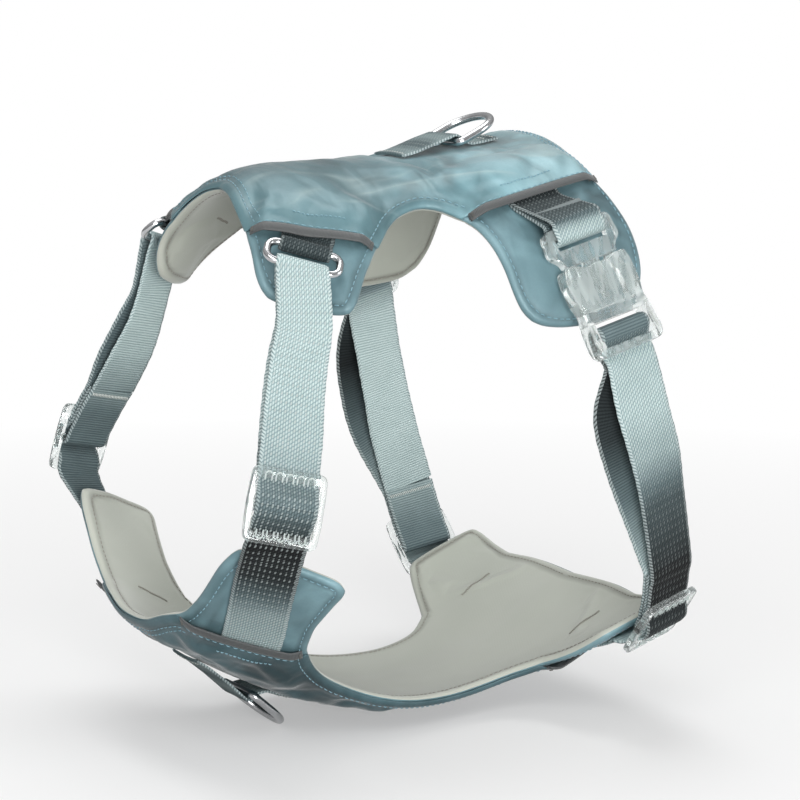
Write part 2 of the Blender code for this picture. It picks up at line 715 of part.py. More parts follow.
def neck_ring_loop(side):
    """Dark loop from the front pocket round the ring's upper bar."""
    upper, lower = pocket_legs(LOOP_LEGS, 0.15, 0.1)
    pocket_across = unit(BACK.point(-28.0, 60.0) - BACK.point(-48.0, 45.0))
    bar, bar_across = NECK_RING.centre, NECK_RING.across
    to_bar = square_to(bar_across, bar - upper[1])
    over_bar = np.cross(bar_across, to_bar)
    if over_bar[1] + over_bar[2] < 0:
        over_bar = -over_bar
    turn = arc(bar, to_bar, over_bar, RING_TURN, 110, -100, 10)
    across = [pocket_across] * 3 + [bar_across] * len(turn) + [pocket_across] * 3
    ribbon("neck_ring_loop", "webbing_dark", np.vstack([upper, turn, lower]), across,
           RING_WEB_W, 5, side)


# ---------------------------------------------------------------- adjusters

NECK_ADJUSTER = Frame((-76.0, 92.0, -18.0), (-0.25, 0.10, -0.96), (0.943, 0.301, -0.149))
GIRTH_ADJUSTER = Frame((107.0, 93.0, -85.0), (0.05, -0.66, -0.75), (0.97, -0.17, 0.20))
SLIDER_TAPER = 0.6       # the lower end is narrower by this on each side
SLIDER_CORNER = 3.0
SLIDER_RIM = 2.7         # side rim beside the windows
WINDOW_START, WINDOW_END = 1.3, 10.6                 # windows, from the middle
MIDDLE_BAR_TOP = 0.3     # outer face of the thinner middle bar
MIDDLE_BAR_MID = (MIDDLE_BAR_TOP - SLIDER_T / 2) / 2
STRAP_EXIT = 12.8        # from the middle to where a strap leaves the adjuster's plane
STRAP_EASE = 0.1         # extra gap between the strap and what it passes


def slider(name, frame, side):
    """A flat three-bar adjuster: two windows, and a middle bar that the sewn end wraps."""
    half_w, half_l = SLIDER_W / 2, SLIDER_L / 2
    inner = half_w - SLIDER_RIM
    corners = symmetric([(half_w, -half_l, SLIDER_CORNER),
                         (half_w - SLIDER_TAPER, half_l, SLIDER_CORNER)])
    ob = plate(name, rounded(corners, 3), SLIDER_T)
    carve(ob, 0.7, 1, [
        ("DIFFERENCE", name + "_slot_a", inner, (-WINDOW_END, -WINDOW_START), (-5, 5)),
        ("DIFFERENCE", name + "_slot_b", inner, (WINDOW_START, WINDOW_END), (-5, 5)),
        ("DIFFERENCE", name + "_bar_top", inner, (-2.5, 2.5), (MIDDLE_BAR_TOP, 5)),
    ])
    frame.settle(ob, side)
    dress(ob, "clear")


def slider_path(frame, rise, fall):
    """The strap's way through an adjuster: under the upper bar, over the middle one and the sewn
    end on it, under the lower bar. Under is on the body side.

    rise and fall are its slopes away from the adjuster's plane, above and below the adjuster.
    Returns the strap's points and the sewn end's points. Profiles are (down, out).
    """
    low = -(SLIDER_T / 2 + GAP + WEB_T / 2 + STRAP_EASE)
    fold_radius = 1.95 + WEB_T / 2
    high = MIDDLE_BAR_MID + fold_radius + WEB_T + GAP + STRAP_EASE

    def upstream(distance, drop):
        return -distance, low - drop - rise * (distance - STRAP_EXIT)

    over = [(STRAP_EXIT, low), (10.2, low + 0.15), (7.6, low + 1.6), (4, high - 1.2)]
    strand = [upstream(27.5, 0), upstream(22, 0), upstream(16.5, 0)]
    strand += [(-down, out) for down, out in over] + [(0, high)] + over[::-1]
    strand += [(16.5, low - fall * (16.5 - STRAP_EXIT))]
    inner = [upstream(25.5, 4.3), upstream(21, 3.9), upstream(16.5, 3.7),
             (-12.0, low - 3.55), (-8, -5.0), (-4, -3.8)]
    fold = [(fold_radius * math.sin(t), MIDDLE_BAR_MID - fold_radius * math.cos(t))
            for t in np.radians(np.linspace(0, 180, 9))]
    outer = [(-4.2, 0.2), (-7.8, -3.0), (-11.5, low - 1.75),
             upstream(16.5, 1.9), upstream(21, 2.1), upstream(25.5, 2.5)]
    return frame.trace(strand), frame.trace(inner + fold + outer)


def adjuster(prefix, frame, sewn_end, side):
    """The strap's sewn end round the middle bar, and the adjuster itself."""
    ribbon(prefix + "_strap_end", "webbing", sewn_end, [frame.across] * len(sewn_end),
           WEB_W - 0.2, 10, side)
    slider(f"{prefix}_adjuster_{HANDS[side]}", frame, side)


# ---------------------------------------------------------------- neck straps

NECK_HANG = unit((-5.8, 4.2, -20.0))                 # direction of the strap below the ring
# from the inner end up to the ring, and from the ring down to the adjuster
NECK_INNER = [(-60.6, 71.4, 22.0), (-56.0, 67.2, 36.0), (-52.0, 65.2, 51.2)]
NECK_OUTER = [(-53.6, 69.0, 50.2), (-57.6, 71.6, 36.0), (-62.4, 76.4, 21.0)]
# (x, s, height) of the strap on the breast panel
NECK_ON_CHEST = [(-74.2, 92.0, 4.6), (-72.6, 82.0, 3.75), (-70.6, 71.0, 3.6), (-68.0, 58.0, 3.6),
                 (-66.0, 47.5, 3.6)]


def neck_strap(side):
    """From its inner end round the ring's lower bar, through the adjuster, to the breast panel."""
    strand, sewn_end = slider_path(NECK_ADJUSTER, rise=0.32, fall=0.75)
    ring_across, slider_across = NECK_RING.across, NECK_ADJUSTER.across
    out = outward(np.cross(ring_across, NECK_HANG))
    turn = arc(NECK_RING.at(RING_SPAN), out, -NECK_HANG, RING_TURN, 190, -10, 10)
    path = np.vstack([extended(sewn_end, 0.4), NECK_INNER, turn, NECK_OUTER, strand])
    across = ([slider_across] * 2 + [ring_across] * (2 + len(turn))
              + [ring_across, unit(ring_across + slider_across), slider_across]
              + [slider_across] * len(strand))
    widths = ([WEB_W] * 3 + [23.5] + [RING_WEB_W] * len(turn)
              + [WEB_W] * (len(NECK_OUTER) + len(strand)))
    ribbon("neck_strap", "webbing", path, across, widths, 10, side,
           laid_on_chest(NECK_ON_CHEST, (1.0, 0.33)))
    adjuster("neck", NECK_ADJUSTER, sewn_end, side)


# ---------------------------------------------------------------- side-release buckles

BUCKLE = Frame((67.5, 83.0, 81.5), (12.5, 22.0, -47.5), (0.98, 0.0, 0.20))
PLUG_T = 5.2
PLUG_TOP = -4
PLUG_SLOT = (0.6, 5.4)
PLUG_BAR = (PLUG_TOP + PLUG_SLOT[0]) / 2             # middle of the plug's webbing bar
PRONG_T = 3.8
PRONG_ROOT = (9.8, 13.2)                             # origin of a prong
SOCKET_TOP = 13.2
SOCKET_SLOT_START = 38.2
SOCKET_BAR = (42.3, 45.3)

# corners (x, y, radius) of the +x half of each outline
PLUG_HALF = [(17, PLUG_TOP, 3), (17.6, 6, 2), (13.5, 10.5, 1.5), (13.5, 12.6, 0)]
SOCKET_HALF = [
    (BUCKLE_W / 2 - 0.6, SOCKET_TOP, 0.8), (BUCKLE_W / 2, 20, 2), (BUCKLE_W / 2 - 1.5, 33, 2),
    (BUCKLE_W / 2 - 3.0, 38, 2), (BUCKLE_W / 2 - 3.2, BUCKLE_L, 3),
]
# outline (x, y) of the rear prong
PRONG = [(8.2, 13.0), (11.4, 13.0), (12.6, 19.0), (17.6, 20.0), (17.9, 23.0), (16.2, 27.5),
         (12.6, 31.5), (9.6, 31.5), (9.8, 24.0)]


def buckle_plug(side):
    hand = HANDS[side]
    plug = plate(f"buckle_plug_{hand}", rounded(symmetric(PLUG_HALF), 2), PLUG_T)
    carve(plug, 0.8, 1, [
        ("DIFFERENCE", f"buckle_plug_slot_{hand}", 13.2, PLUG_SLOT, (-5, 5)),
        ("UNION", f"buckle_tongue_{hand}", 2.2, (11.0, 30.0), (-1.6, 1.6)),
    ])
    BUCKLE.settle(plug, side)
    dress(plug, "clear")


def buckle_prongs(side):
    root_x, root_y = PRONG_ROOT
    for sign, where in ((-1, "front"), (1, "rear")):
        prong = plate(f"buckle_prong_{where}_{HANDS[side]}", [(sign * x, y) for x, y in PRONG],
                      PRONG_T)
        BUCKLE.settle(prong, side)
        dress(prong, "clear")
        set_origin(prong, mirror(BUCKLE.at(root_y, across=root_x * sign), side))


def buckle_socket(side):
    hand = HANDS[side]
    socket = plate(f"buckle_socket_{hand}", rounded(symmetric(SOCKET_HALF), 2), BUCKLE_T)
    cavity_z = (-2.35, 2.35)
    carve(socket, 1.2, 2, [
        ("DIFFERENCE", f"socket_cavity_{hand}", 16.2, (10, 33.5), cavity_z),
        ("DIFFERENCE", f"socket_windows_{hand}", 25, (18.0, 28.2), cavity_z),
        ("DIFFERENCE", f"socket_slot_{hand}", 13.0, (SOCKET_SLOT_START, 50.3), (-8, 8)),
        ("DIFFERENCE", f"socket_back_{hand}", 13.0, (SOCKET_SLOT_START, 60), (-8, -1.2)),
        ("DIFFERENCE", f"socket_front_{hand}", 30, (37.0, 60), (2.6, 8)),
        ("UNION", f"socket_bar_{hand}", 14.0, SOCKET_BAR, (-1.5, 1.5)),
    ])
    BUCKLE.settle(socket, side)
    dress(socket, "clear")


def buckle_webbing(side):
    """Short webbing from the rear pocket round the plug's bar."""
    upper, lower = pocket_legs([(61.0, 55.5), (61.5, 61.0), (62.5, 66.8)], 0.1, 0.15)
    radius = PLUG_T / 2 + GAP + WEB_T / 2
    # (down from the bar, out) over the outer face of the bar
    outer = [(-5.5, 3.1), (-2.6, radius + 0.1), (0, radius + 0.2), (2.6, radius), (4.3, 1.8)]
    profile = outer + [(4.7, 0)] + [(down, -out) for down, out in outer[::-1]]
    turn = BUCKLE.trace([(PLUG_BAR + down, out) for down, out in profile])
    pocket_across = unit(BACK.point(74.0, 61.0) - BACK.point(49.0, 61.0))
    across = [pocket_across] * 3 + [BUCKLE.across] * len(turn) + [pocket_across] * 3
    ribbon("buckle_webbing", "webbing", np.vstack([upper, turn, lower]), across, WEB_W, 7, side)


# ---------------------------------------------------------------- girth straps

SOCKET_TURN = 2.12 + GAP + WEB_T / 2 + 0.1           # radius of webbing round the socket's bar
# from the inner end up to the buckle, and from the buckle down to the adjuster; the parts beside
# the socket are (down, out) in the buckle's frame
GIRTH_INNER = [(94.2, 102.6, -32.0), (90.0, 102.8, -12.0), (84.4, 101.6, 8.0)]
GIRTH_INNER_AT_SOCKET = [(59.0, -6.4), (50.5, -4.9), (47.0, -3.6)]
GIRTH_OUTER_AT_SOCKET = [(48.2, -0.4), (50.2, -2.15), (52.8, -2.45), (58.0, -2.6)]
GIRTH_OUTER = [(84.6, 107.6, 10.0), (90.4, 109.2, -10.0), (95.6, 108.2, -30.0)]
# directions across the strap at the inner points, from the adjuster up
GIRTH_ACROSS = [unit((0.968, -0.12, 0.23)), unit((0.968, 0.0, 0.25)), unit((0.965, 0.06, 0.26))]
# (x, s, height) of the strap on the breast panel
GIRTH_ON_CHEST = [(107.5, 74.0, 4.1), (107.5, 66.0, 3.65), (107.5, 57.0, 3.6), (107.5, 46.5, 3.6)]


def girth_strap(side):
    """From its inner end round the socket's bar, through the adjuster, to the breast panel."""
    strand, sewn_end = slider_path(GIRTH_ADJUSTER, rise=0.43, fall=0.9)
    bar = BUCKLE.at(sum(SOCKET_BAR) / 2)
    turn = arc(bar, BUCKLE.out, -BUCKLE.down, SOCKET_TURN, 180, -45, 10)
    at_socket = np.vstack([BUCKLE.trace(GIRTH_INNER_AT_SOCKET), turn,
                           BUCKLE.trace(GIRTH_OUTER_AT_SOCKET)])
    path = np.vstack([extended(sewn_end, 1.9), GIRTH_INNER, at_socket, GIRTH_OUTER, strand])
    across = ([GIRTH_ADJUSTER.across] + GIRTH_ACROSS + [BUCKLE.across] * len(at_socket)
              + GIRTH_ACROSS[::-1] + [GIRTH_ADJUSTER.across] * len(strand))
    ribbon("girth_strap", "webbing", path, across, WEB_W, 10, side,
           laid_on_chest(GIRTH_ON_CHEST, (1.0, 0.0)))
    adjuster("girth", GIRTH_ADJUSTER, sewn_end, side)


# ---------------------------------------------------------------- the harness

# cells are counted along the front mouth, the waist and the rear mouth
panel("back", BACK, BACK_OUTLINE, cells=(5, 5, 5), webbing_layers=2)
panel("chest", CHEST, CHEST_OUTLINE, cells=(6, 7, 5), webbing_layers=1)

leash_ring("back_leash_ring", BACK_RING_BAR, BACK_RING_DIRECTION)
leash_ring("chest_leash_ring", CHEST_RING_BAR, CHEST_RING_DIRECTION)
ring_webbing("back_ring_webbing", BACK, BACK_RING_BAR,
             front_stations=[(28, 0.05), (33, 0.4), (38, 1.4), (43, 2.5), (48, 3.6)],
             turn=(104, 8), rear_xs=(64, 70, 77))
ring_webbing("chest_ring_webbing", CHEST, CHEST_RING_BAR,
             front_stations=[(-71, 0.05), (-66, 0.3), (-61, 1.2), (-56, 2.2)],
             turn=(-110, -8), rear_xs=(-38, -32, -26))

for each_side in HANDS:
    neck_ring(each_side)
    neck_ring_loop(each_side)
    neck_strap(each_side)
    buckle_plug(each_side)
    buckle_prongs(each_side)
    buckle_socket(each_side)
    buckle_webbing(each_side)
    girth_strap(each_side)
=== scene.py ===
"""A dog harness: a padded satin back panel above and a chest panel below, joined by webbing
straps with plated rings, clear sliders and side-release buckles.

The layout is in millimetres: -X is the front, +Y the right side and +Z up. place() turns layout
points into the frame's metres. The panels are inflated by cloth simulation, and the straps are
swept strips. Everything on the left is the right side mirrored in Y.
"""

import math
from collections import namedtuple
from types import SimpleNamespace

import bmesh
import bpy
import numpy as np
from mathutils import Matrix, Vector, noise
from mathutils.bvhtree import BVHTree


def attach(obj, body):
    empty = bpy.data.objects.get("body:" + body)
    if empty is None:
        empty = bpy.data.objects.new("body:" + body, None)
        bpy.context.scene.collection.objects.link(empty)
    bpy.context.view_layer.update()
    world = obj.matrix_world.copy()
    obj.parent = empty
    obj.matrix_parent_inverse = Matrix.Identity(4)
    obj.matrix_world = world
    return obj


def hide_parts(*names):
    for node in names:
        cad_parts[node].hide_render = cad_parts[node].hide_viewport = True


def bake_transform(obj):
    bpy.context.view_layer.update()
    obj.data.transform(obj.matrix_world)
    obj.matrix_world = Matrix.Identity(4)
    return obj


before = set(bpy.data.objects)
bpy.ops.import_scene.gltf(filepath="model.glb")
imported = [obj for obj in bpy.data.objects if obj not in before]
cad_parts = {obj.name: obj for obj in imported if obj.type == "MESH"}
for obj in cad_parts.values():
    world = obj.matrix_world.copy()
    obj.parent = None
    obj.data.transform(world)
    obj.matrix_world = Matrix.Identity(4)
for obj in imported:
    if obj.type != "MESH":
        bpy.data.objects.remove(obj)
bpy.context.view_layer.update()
scene = bpy.context.scene

# ---- sizes, in millimetres
MM = 0.001
ORIGIN = np.array([16.586, 0.0, -133.242])      # layout point at the frame's origin
WEB_W, WEB_T, GAP = 25.0, 1.3, 0.35             # webbing, and the clearance between layers
FABRIC_T, FOAM_T = 0.9, 2.3
SHEET_MID = FOAM_T / 2 + GAP + FABRIC_T / 2
FLAT = SHEET_MID + FABRIC_T + GAP - 0.15        # middle of the shell above the padding's middle
MOUTH_EASE = 0.6
PAD_HALF = 2.35
LOWER_LEG = SHEET_MID + FABRIC_T / 2 + GAP + WEB_T / 2      # heights of webbing in the pockets
UPPER_LEG = LOWER_LEG + WEB_T + GAP
RING_WIRE, RING_SPAN, RING_L = 3.2, 10.3, 22.0  # oval neck ring
LOOP_W = RING_L - 0.8
DRING_WIRE, DRING_W, DRING_H = 3.4, 27.0, 24.0
STRIP_W = 23.0                                  # webbing that holds a D ring
SLIDER_W, SLIDER_L, SLIDER_T = 31.0, 30.0, 3.0
BUCKLE_L, BUCKLE_T = 53.0, 9.0

# body sections: station x, then (y, z) from the centre line round the right side
BACK_SECTIONS = {
    -62: [(0, 99.5), (9, 98.3), (16.4, 95.5), (25.2, 90.5), (32.7, 85), (39.2, 79.5), (43.5, 74),
          (46.5, 67), (48.5, 59), (50, 50), (51, 40)],
    -30: [(0, 105), (15, 103), (30, 96), (45, 85.5), (57, 75), (66, 66.5), (75, 58), (83, 50)],
    12: [(0, 107), (20, 105), (35, 100), (50, 91), (62, 80), (71, 68), (78, 54), (82, 40)],
    60: [(0, 112), (20, 110), (40, 104), (55, 96), (68, 85), (78, 72), (84, 56), (87, 40), (88, 28)],
    105: [(0, 119), (20, 117), (40, 110), (55, 101), (68, 89), (78, 75), (84, 62), (88, 45), (89, 32)],
}
CHEST_SECTIONS = {
    -95: [(0, -81), (12, -80), (23, -76), (37.7, -69.5), (45, -64), (50.4, -59), (54.7, -54),
          (58.6, -49), (62.6, -44), (68.7, -37), (74, -30)],
    -46: [(0, -110), (20, -108), (40, -100), (54, -90), (65, -80), (75, -70), (82.4, -62),
          (88, -56), (94, -49)],
    0: [(0, -123.5), (20, -123), (40, -119.5), (50, -116), (60, -110), (75, -100), (90, -88)],
    40: [(0, -126), (20, -125.5), (40, -122.5), (50, -119.5), (60, -115), (75, -106), (90, -95)],
    80: [(0, -117), (20, -116.5), (40, -113.5), (50, -111), (60, -107.5), (70, -102.5), (85, -93)],
    105: [(0, -103), (20, -103), (40, -101), (55, -98.5), (70, -94), (85, -86)],
    130: [(0, -87), (30, -87), (60, -86), (85, -80)],
}
# right-half panel edges in the flat layout: (x, arc length round from the centre line)
BACK_OUTLINE = {
    "front": [(-55, 0), (-57, 12), (-59.3, 24), (-61, 37.5)],
    "mouth_front": [(-61, 37.5), (-48, 45), (-38, 52.5), (-26, 60), (-14, 68)],
    "waist": [(-14, 68), (-9, 63), (-4, 58), (3, 53.5), (13, 51.5), (21, 55.5), (28, 63.5)],
    "mouth_rear": [(28, 63.5), (41, 63), (60, 61.5), (78, 59.5), (99, 57.5)],
    "rear": [(99.5, 0), (98.5, 28), (97.5, 46), (99, 57.5)],
    "front_tab": {
        "left": [(-61, 37.5), (-62, 43), (-63, 56), (-61.8, 64), (-59.5, 69.5)],
        "top": [(-59.5, 69.5), (-56, 74), (-48, 83), (-40, 91), (-36, 92.5)],
        "right": [(-14, 68), (-18.5, 73), (-24, 79), (-32, 89.5), (-36, 92.5)]},
    "rear_tab": {
        "left": [(28, 63.5), (31.5, 69), (34.5, 78), (36.5, 89), (38.5, 101), (41.5, 110), (46, 116)],
        "top": [(46, 116), (52, 120), (62, 123), (74, 124), (86, 123.5), (95.5, 119)],
        "right": [(99, 57.5), (102, 74), (104, 88), (103.5, 102), (101, 111), (95.5, 119)]},
}
CHEST_OUTLINE = {
    "front": [(-98.5, 0), (-98, 19), (-96.5, 30), (-94.5, 37)],
    "mouth_front": [(-94.5, 37), (-89.5, 40), (-78, 44.5), (-63, 52), (-45, 62)],
    "waist": [(-45, 62), (-42, 57.5), (-36, 52), (-28, 48.5), (-12, 46.5), (8, 45), (30, 41.5),
              (50, 39.5), (66, 41.5), (77, 49.5)],
    "mouth_rear": [(77, 49.5), (92, 50), (110, 50), (129.5, 50)],
    "rear": [(130.5, 0), (131.5, 18), (131.5, 32), (129.5, 50)],
    "front_tab": {
        "left": [(-94.5, 37), (-93.5, 44), (-92.6, 54), (-91.6, 66), (-90.5, 78), (-88.5, 87),
                 (-86.5, 91.5)],
        "top": [(-86.5, 91.5), (-83.5, 94.5), (-72, 101), (-60, 105.5), (-50, 108.5), (-45.5, 106)],
        "right": [(-45, 62), (-46.3, 67), (-47.6, 77), (-47, 86), (-46, 95), (-45, 102),
                  (-45.5, 106)]},
    "rear_tab": {
        "left": [(77, 49.5), (79.5, 56), (82.5, 65), (86, 76), (89, 82)],
        "top": [(89, 82), (93, 84), (108, 84.5), (124, 84), (128.5, 81.5)],
        "right": [(129.5, 50), (130, 61), (130, 75), (128.5, 81.5)]},
}
MOUTHS = ("mouth_front", "mouth_rear")


# ================================================================ curves and surfaces

def place(points):
    """Layout millimetres to frame metres."""
    return (np.asarray(points, float) - ORIGIN) * MM


def world_tuple(point):
    return tuple(float(c) for c in place(point))


def mirror(vectors, side):
    """Right-side points or directions, moved to the left when side is -1."""
    return np.asarray(vectors, float) * [1, side, 1]


def unit(vectors):
    vectors = np.asarray(vectors, float)
    return vectors / np.linalg.norm(vectors, axis=-1, keepdims=True)


def smooth(t):
    t = np.clip(t, 0, 1)
    return t * t * (3 - 2 * t)


def rolled(t):
    """A quarter-circle rise from 0 to 1."""
    return np.sqrt(np.clip(1 - (1 - np.clip(t, 0, 1)) ** 2, 0, 1))


def run_lengths(points):
    return np.r_[0, np.cumsum(np.linalg.norm(np.diff(points, axis=0), axis=1))]


def at_lengths(wanted, run, points):
    """Points interpolated at the wanted running lengths."""
    return np.stack([np.interp(wanted, run, points[:, k]) for k in range(points.shape[1])], -1)


def catmull(points, t):
    """A Catmull-Rom curve; whole numbers of t fall on the points."""
    points = np.asarray(points, float)
    last = len(points) - 1
    t = np.clip(np.asarray(t, float), 0, last - 1e-9)
    i = np.floor(t).astype(int)
    f = (t - i)[..., None]
    get = lambda k: points[np.clip(k, 0, last)]
    start, end = get(i), get(i + 1)
    before = np.where((i < 1)[..., None], 2 * start - end, get(i - 1))
    after = np.where((i + 2 > last)[..., None], 2 * end - start, get(i + 2))
    return 0.5 * (2 * start + (end - before) * f
                  + (2 * before - 5 * start + 4 * end - after) * f ** 2
                  + (3 * start - before - 3 * end + after) * f ** 3)


def resample(points, count):
    """The curve through the points as count equal lengths."""
    curve = catmull(points, np.linspace(0, len(points) - 1, 40 * len(points)))
    run = run_lengths(curve)
    return at_lengths(np.linspace(0, run[-1], count + 1), run, curve)


def arc_points(centre, first, second, radius, start, end, count):
    """An arc in the plane of two directions, between two angles in degrees."""
    angle = np.radians(np.linspace(start, end, count + 1))[:, None]
    turn = np.cos(angle) * np.asarray(first) + np.sin(angle) * np.asarray(second)
    return np.asarray(centre, float) + radius * turn


def frame_axes(along, across):
    """Unit axes: across, along, and the normal that points to +Y."""
    along = unit(along)
    across = np.asarray(across, float)
    across = unit(across - along * (across @ along))
    normal = np.cross(along, across)
    return across, along, (normal if normal[1] > 0 else -normal)


class Surface:
    """A body surface through sections. A flat point (x, arc) lies at station x, arc millimetres
    round from the centre line, on the right where arc is positive."""

    REACH, COUNT = 132, 133         # arc length and point count of each section row

    def __init__(self, sections, outward, base):
        """outward is the sign of the outer side in Z; base is the height of the padding's middle."""
        self.stations = np.array(sorted(sections), float)
        self.outward, self.base = outward, base
        wanted = np.linspace(0, self.REACH, self.COUNT)
        rows = []
        for x in sorted(sections):
            half = np.array(sections[x], float)
            whole = np.vstack([half[1:][::-1] * [-1, 1], half])
            curve = catmull(whole, np.linspace(len(half) - 1, len(whole) - 1, 600))
            run = run_lengths(curve)
            row = at_lengths(wanted, run, curve)
            over = wanted > run[-1]
            beyond = (wanted[over] - run[-1])[:, None]
            row[over] = curve[-1] + unit(curve[-1] - curve[-30]) * beyond
            rows.append(row)
        self.rows = np.array(rows)

    def point(self, x, arc):
        x, arc = np.broadcast_arrays(np.asarray(x, float), np.asarray(arc, float))
        most = self.COUNT - 1
        step = np.clip(np.abs(arc) / self.REACH * most, 0, most - 1e-6)
        j = np.floor(step).astype(int)
        part = (step - j)[..., None]
        last = len(self.stations) - 1
        i = np.clip(np.searchsorted(self.stations, x, side="right") - 1, 0, last - 1)

        def row(k):
            k = np.clip(k, 0, last)
            return self.rows[k, j] * (1 - part) + self.rows[k, j + 1] * part

        station = lambda k: self.stations[np.clip(k, 0, last)]
        start, end = station(i), station(i + 1)
        span = (end - start)[..., None]
        t = ((x - start) / (end - start))[..., None]
        near, far = row(i), row(i + 1)
        near_slope = np.where((i > 0)[..., None],
                              (far - row(i - 1)) / (end - station(i - 1) + 1e-9)[..., None],
                              (far - near) / span)
        far_slope = np.where((i < last - 1)[..., None],
                             (row(i + 2) - near) / (station(i + 2) - start + 1e-9)[..., None],
                             (far - near) / span)
        yz = ((2 * t ** 3 - 3 * t ** 2 + 1) * near + (t ** 3 - 2 * t ** 2 + t) * span * near_slope
              + (3 * t ** 2 - 2 * t ** 3) * far + (t ** 3 - t ** 2) * span * far_slope)
        return np.stack([x, yz[..., 0] * np.where(arc < 0, -1, 1), yz[..., 1]], -1)

    def normal(self, flat):
        flat = np.asarray(flat, float)
        x, arc = flat[..., 0], flat[..., 1]
        reach = 1.5
        return self.outward * unit(np.cross(
            self.point(x + reach, arc) - self.point(x - reach, arc),
            self.point(x, arc + reach) - self.point(x, arc - reach)))

    def off(self, flat, height):
        """Points at a height outward from the padding's middle."""
        flat = np.asarray(flat, float)
        height = (self.base + np.asarray(height, float))[..., None]
        return self.point(flat[..., 0], flat[..., 1]) + self.normal(flat) * height


BACK = Surface(BACK_SECTIONS, 1, -(SHEET_MID + FABRIC_T / 2))
CHEST = Surface(CHEST_SECTIONS, -1, -2.0)


def coons(bottom, top, left, right):
    """A grid of points blended from four edges."""
    across = np.linspace(0, 1, len(bottom))[:, None, None]
    up = np.linspace(0, 1, len(left))[None, :, None]
    low, high = np.array(bottom)[:, None, :], np.array(top)[:, None, :]
    near, far = np.array(left)[None, :, :], np.array(right)[None, :, :]
    return ((1 - up) * low + up * high + (1 - across) * near + across * far
            - ((1 - across) * (1 - up) * low[0, 0] + across * (1 - up) * low[-1, 0]
               + (1 - across) * up * high[0, 0] + across * up * high[-1, 0]))


# ================================================================ mesh helpers

def make(name, verts, faces, mats, face_mat=None, smooth_shade=True, closed=True):
    """A mesh object from frame-metre vertices; a closed one gets outward faces."""
    mesh = bpy.data.meshes.new(name)
    mesh.from_pydata([tuple(v) for v in verts], [], [tuple(int(i) for i in f) for f in faces])
    for mat in mats:
        mesh.materials.append(mat)
    if face_mat is not None:
        mesh.polygons.foreach_set("material_index", np.asarray(face_mat, np.int32))
    if smooth_shade:
        mesh.shade_smooth()
    mesh.update()
    ob = bpy.data.objects.new(name, mesh)
    scene.collection.objects.link(ob)
    if closed:
        bm = bmesh.new()
        bm.from_mesh(mesh)
        bmesh.ops.recalc_face_normals(bm, faces=bm.faces)
        bm.to_mesh(mesh)
        bm.free()
    return ob


def side_faces(rings, around, looped=False):
    """Quads between successive rings of vertices."""
    faces = []
    for i in range(rings if looped else rings - 1):
        j = (i + 1) % rings
        for k in range(around):
            m = (k + 1) % around
            faces.append([i * around + k, i * around + m, j * around + m, j * around + k])
    return faces


def point_attribute(ob, name, values):
    layer = ob.data.attributes.new(name, "FLOAT", "POINT")
    layer.data.foreach_set("value", np.asarray(values, np.float32))


def uv_from_points(ob, uv):
    """A UV map from one pair per vertex."""
    layer = ob.data.uv_layers.new(name="UVMap")
    index = np.zeros(len(ob.data.loops), np.int32)
    ob.data.loops.foreach_get("vertex_index", index)
    layer.data.foreach_set("uv", np.asarray(uv, np.float32)[index].ravel())


def register(ob, body, slot, *replaced):
    """Tells the frame what the object rides and which pieces it replaces. slot is not used."""
    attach(ob, body)
    if replaced:
        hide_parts(*replaced)


# ================================================================ materials

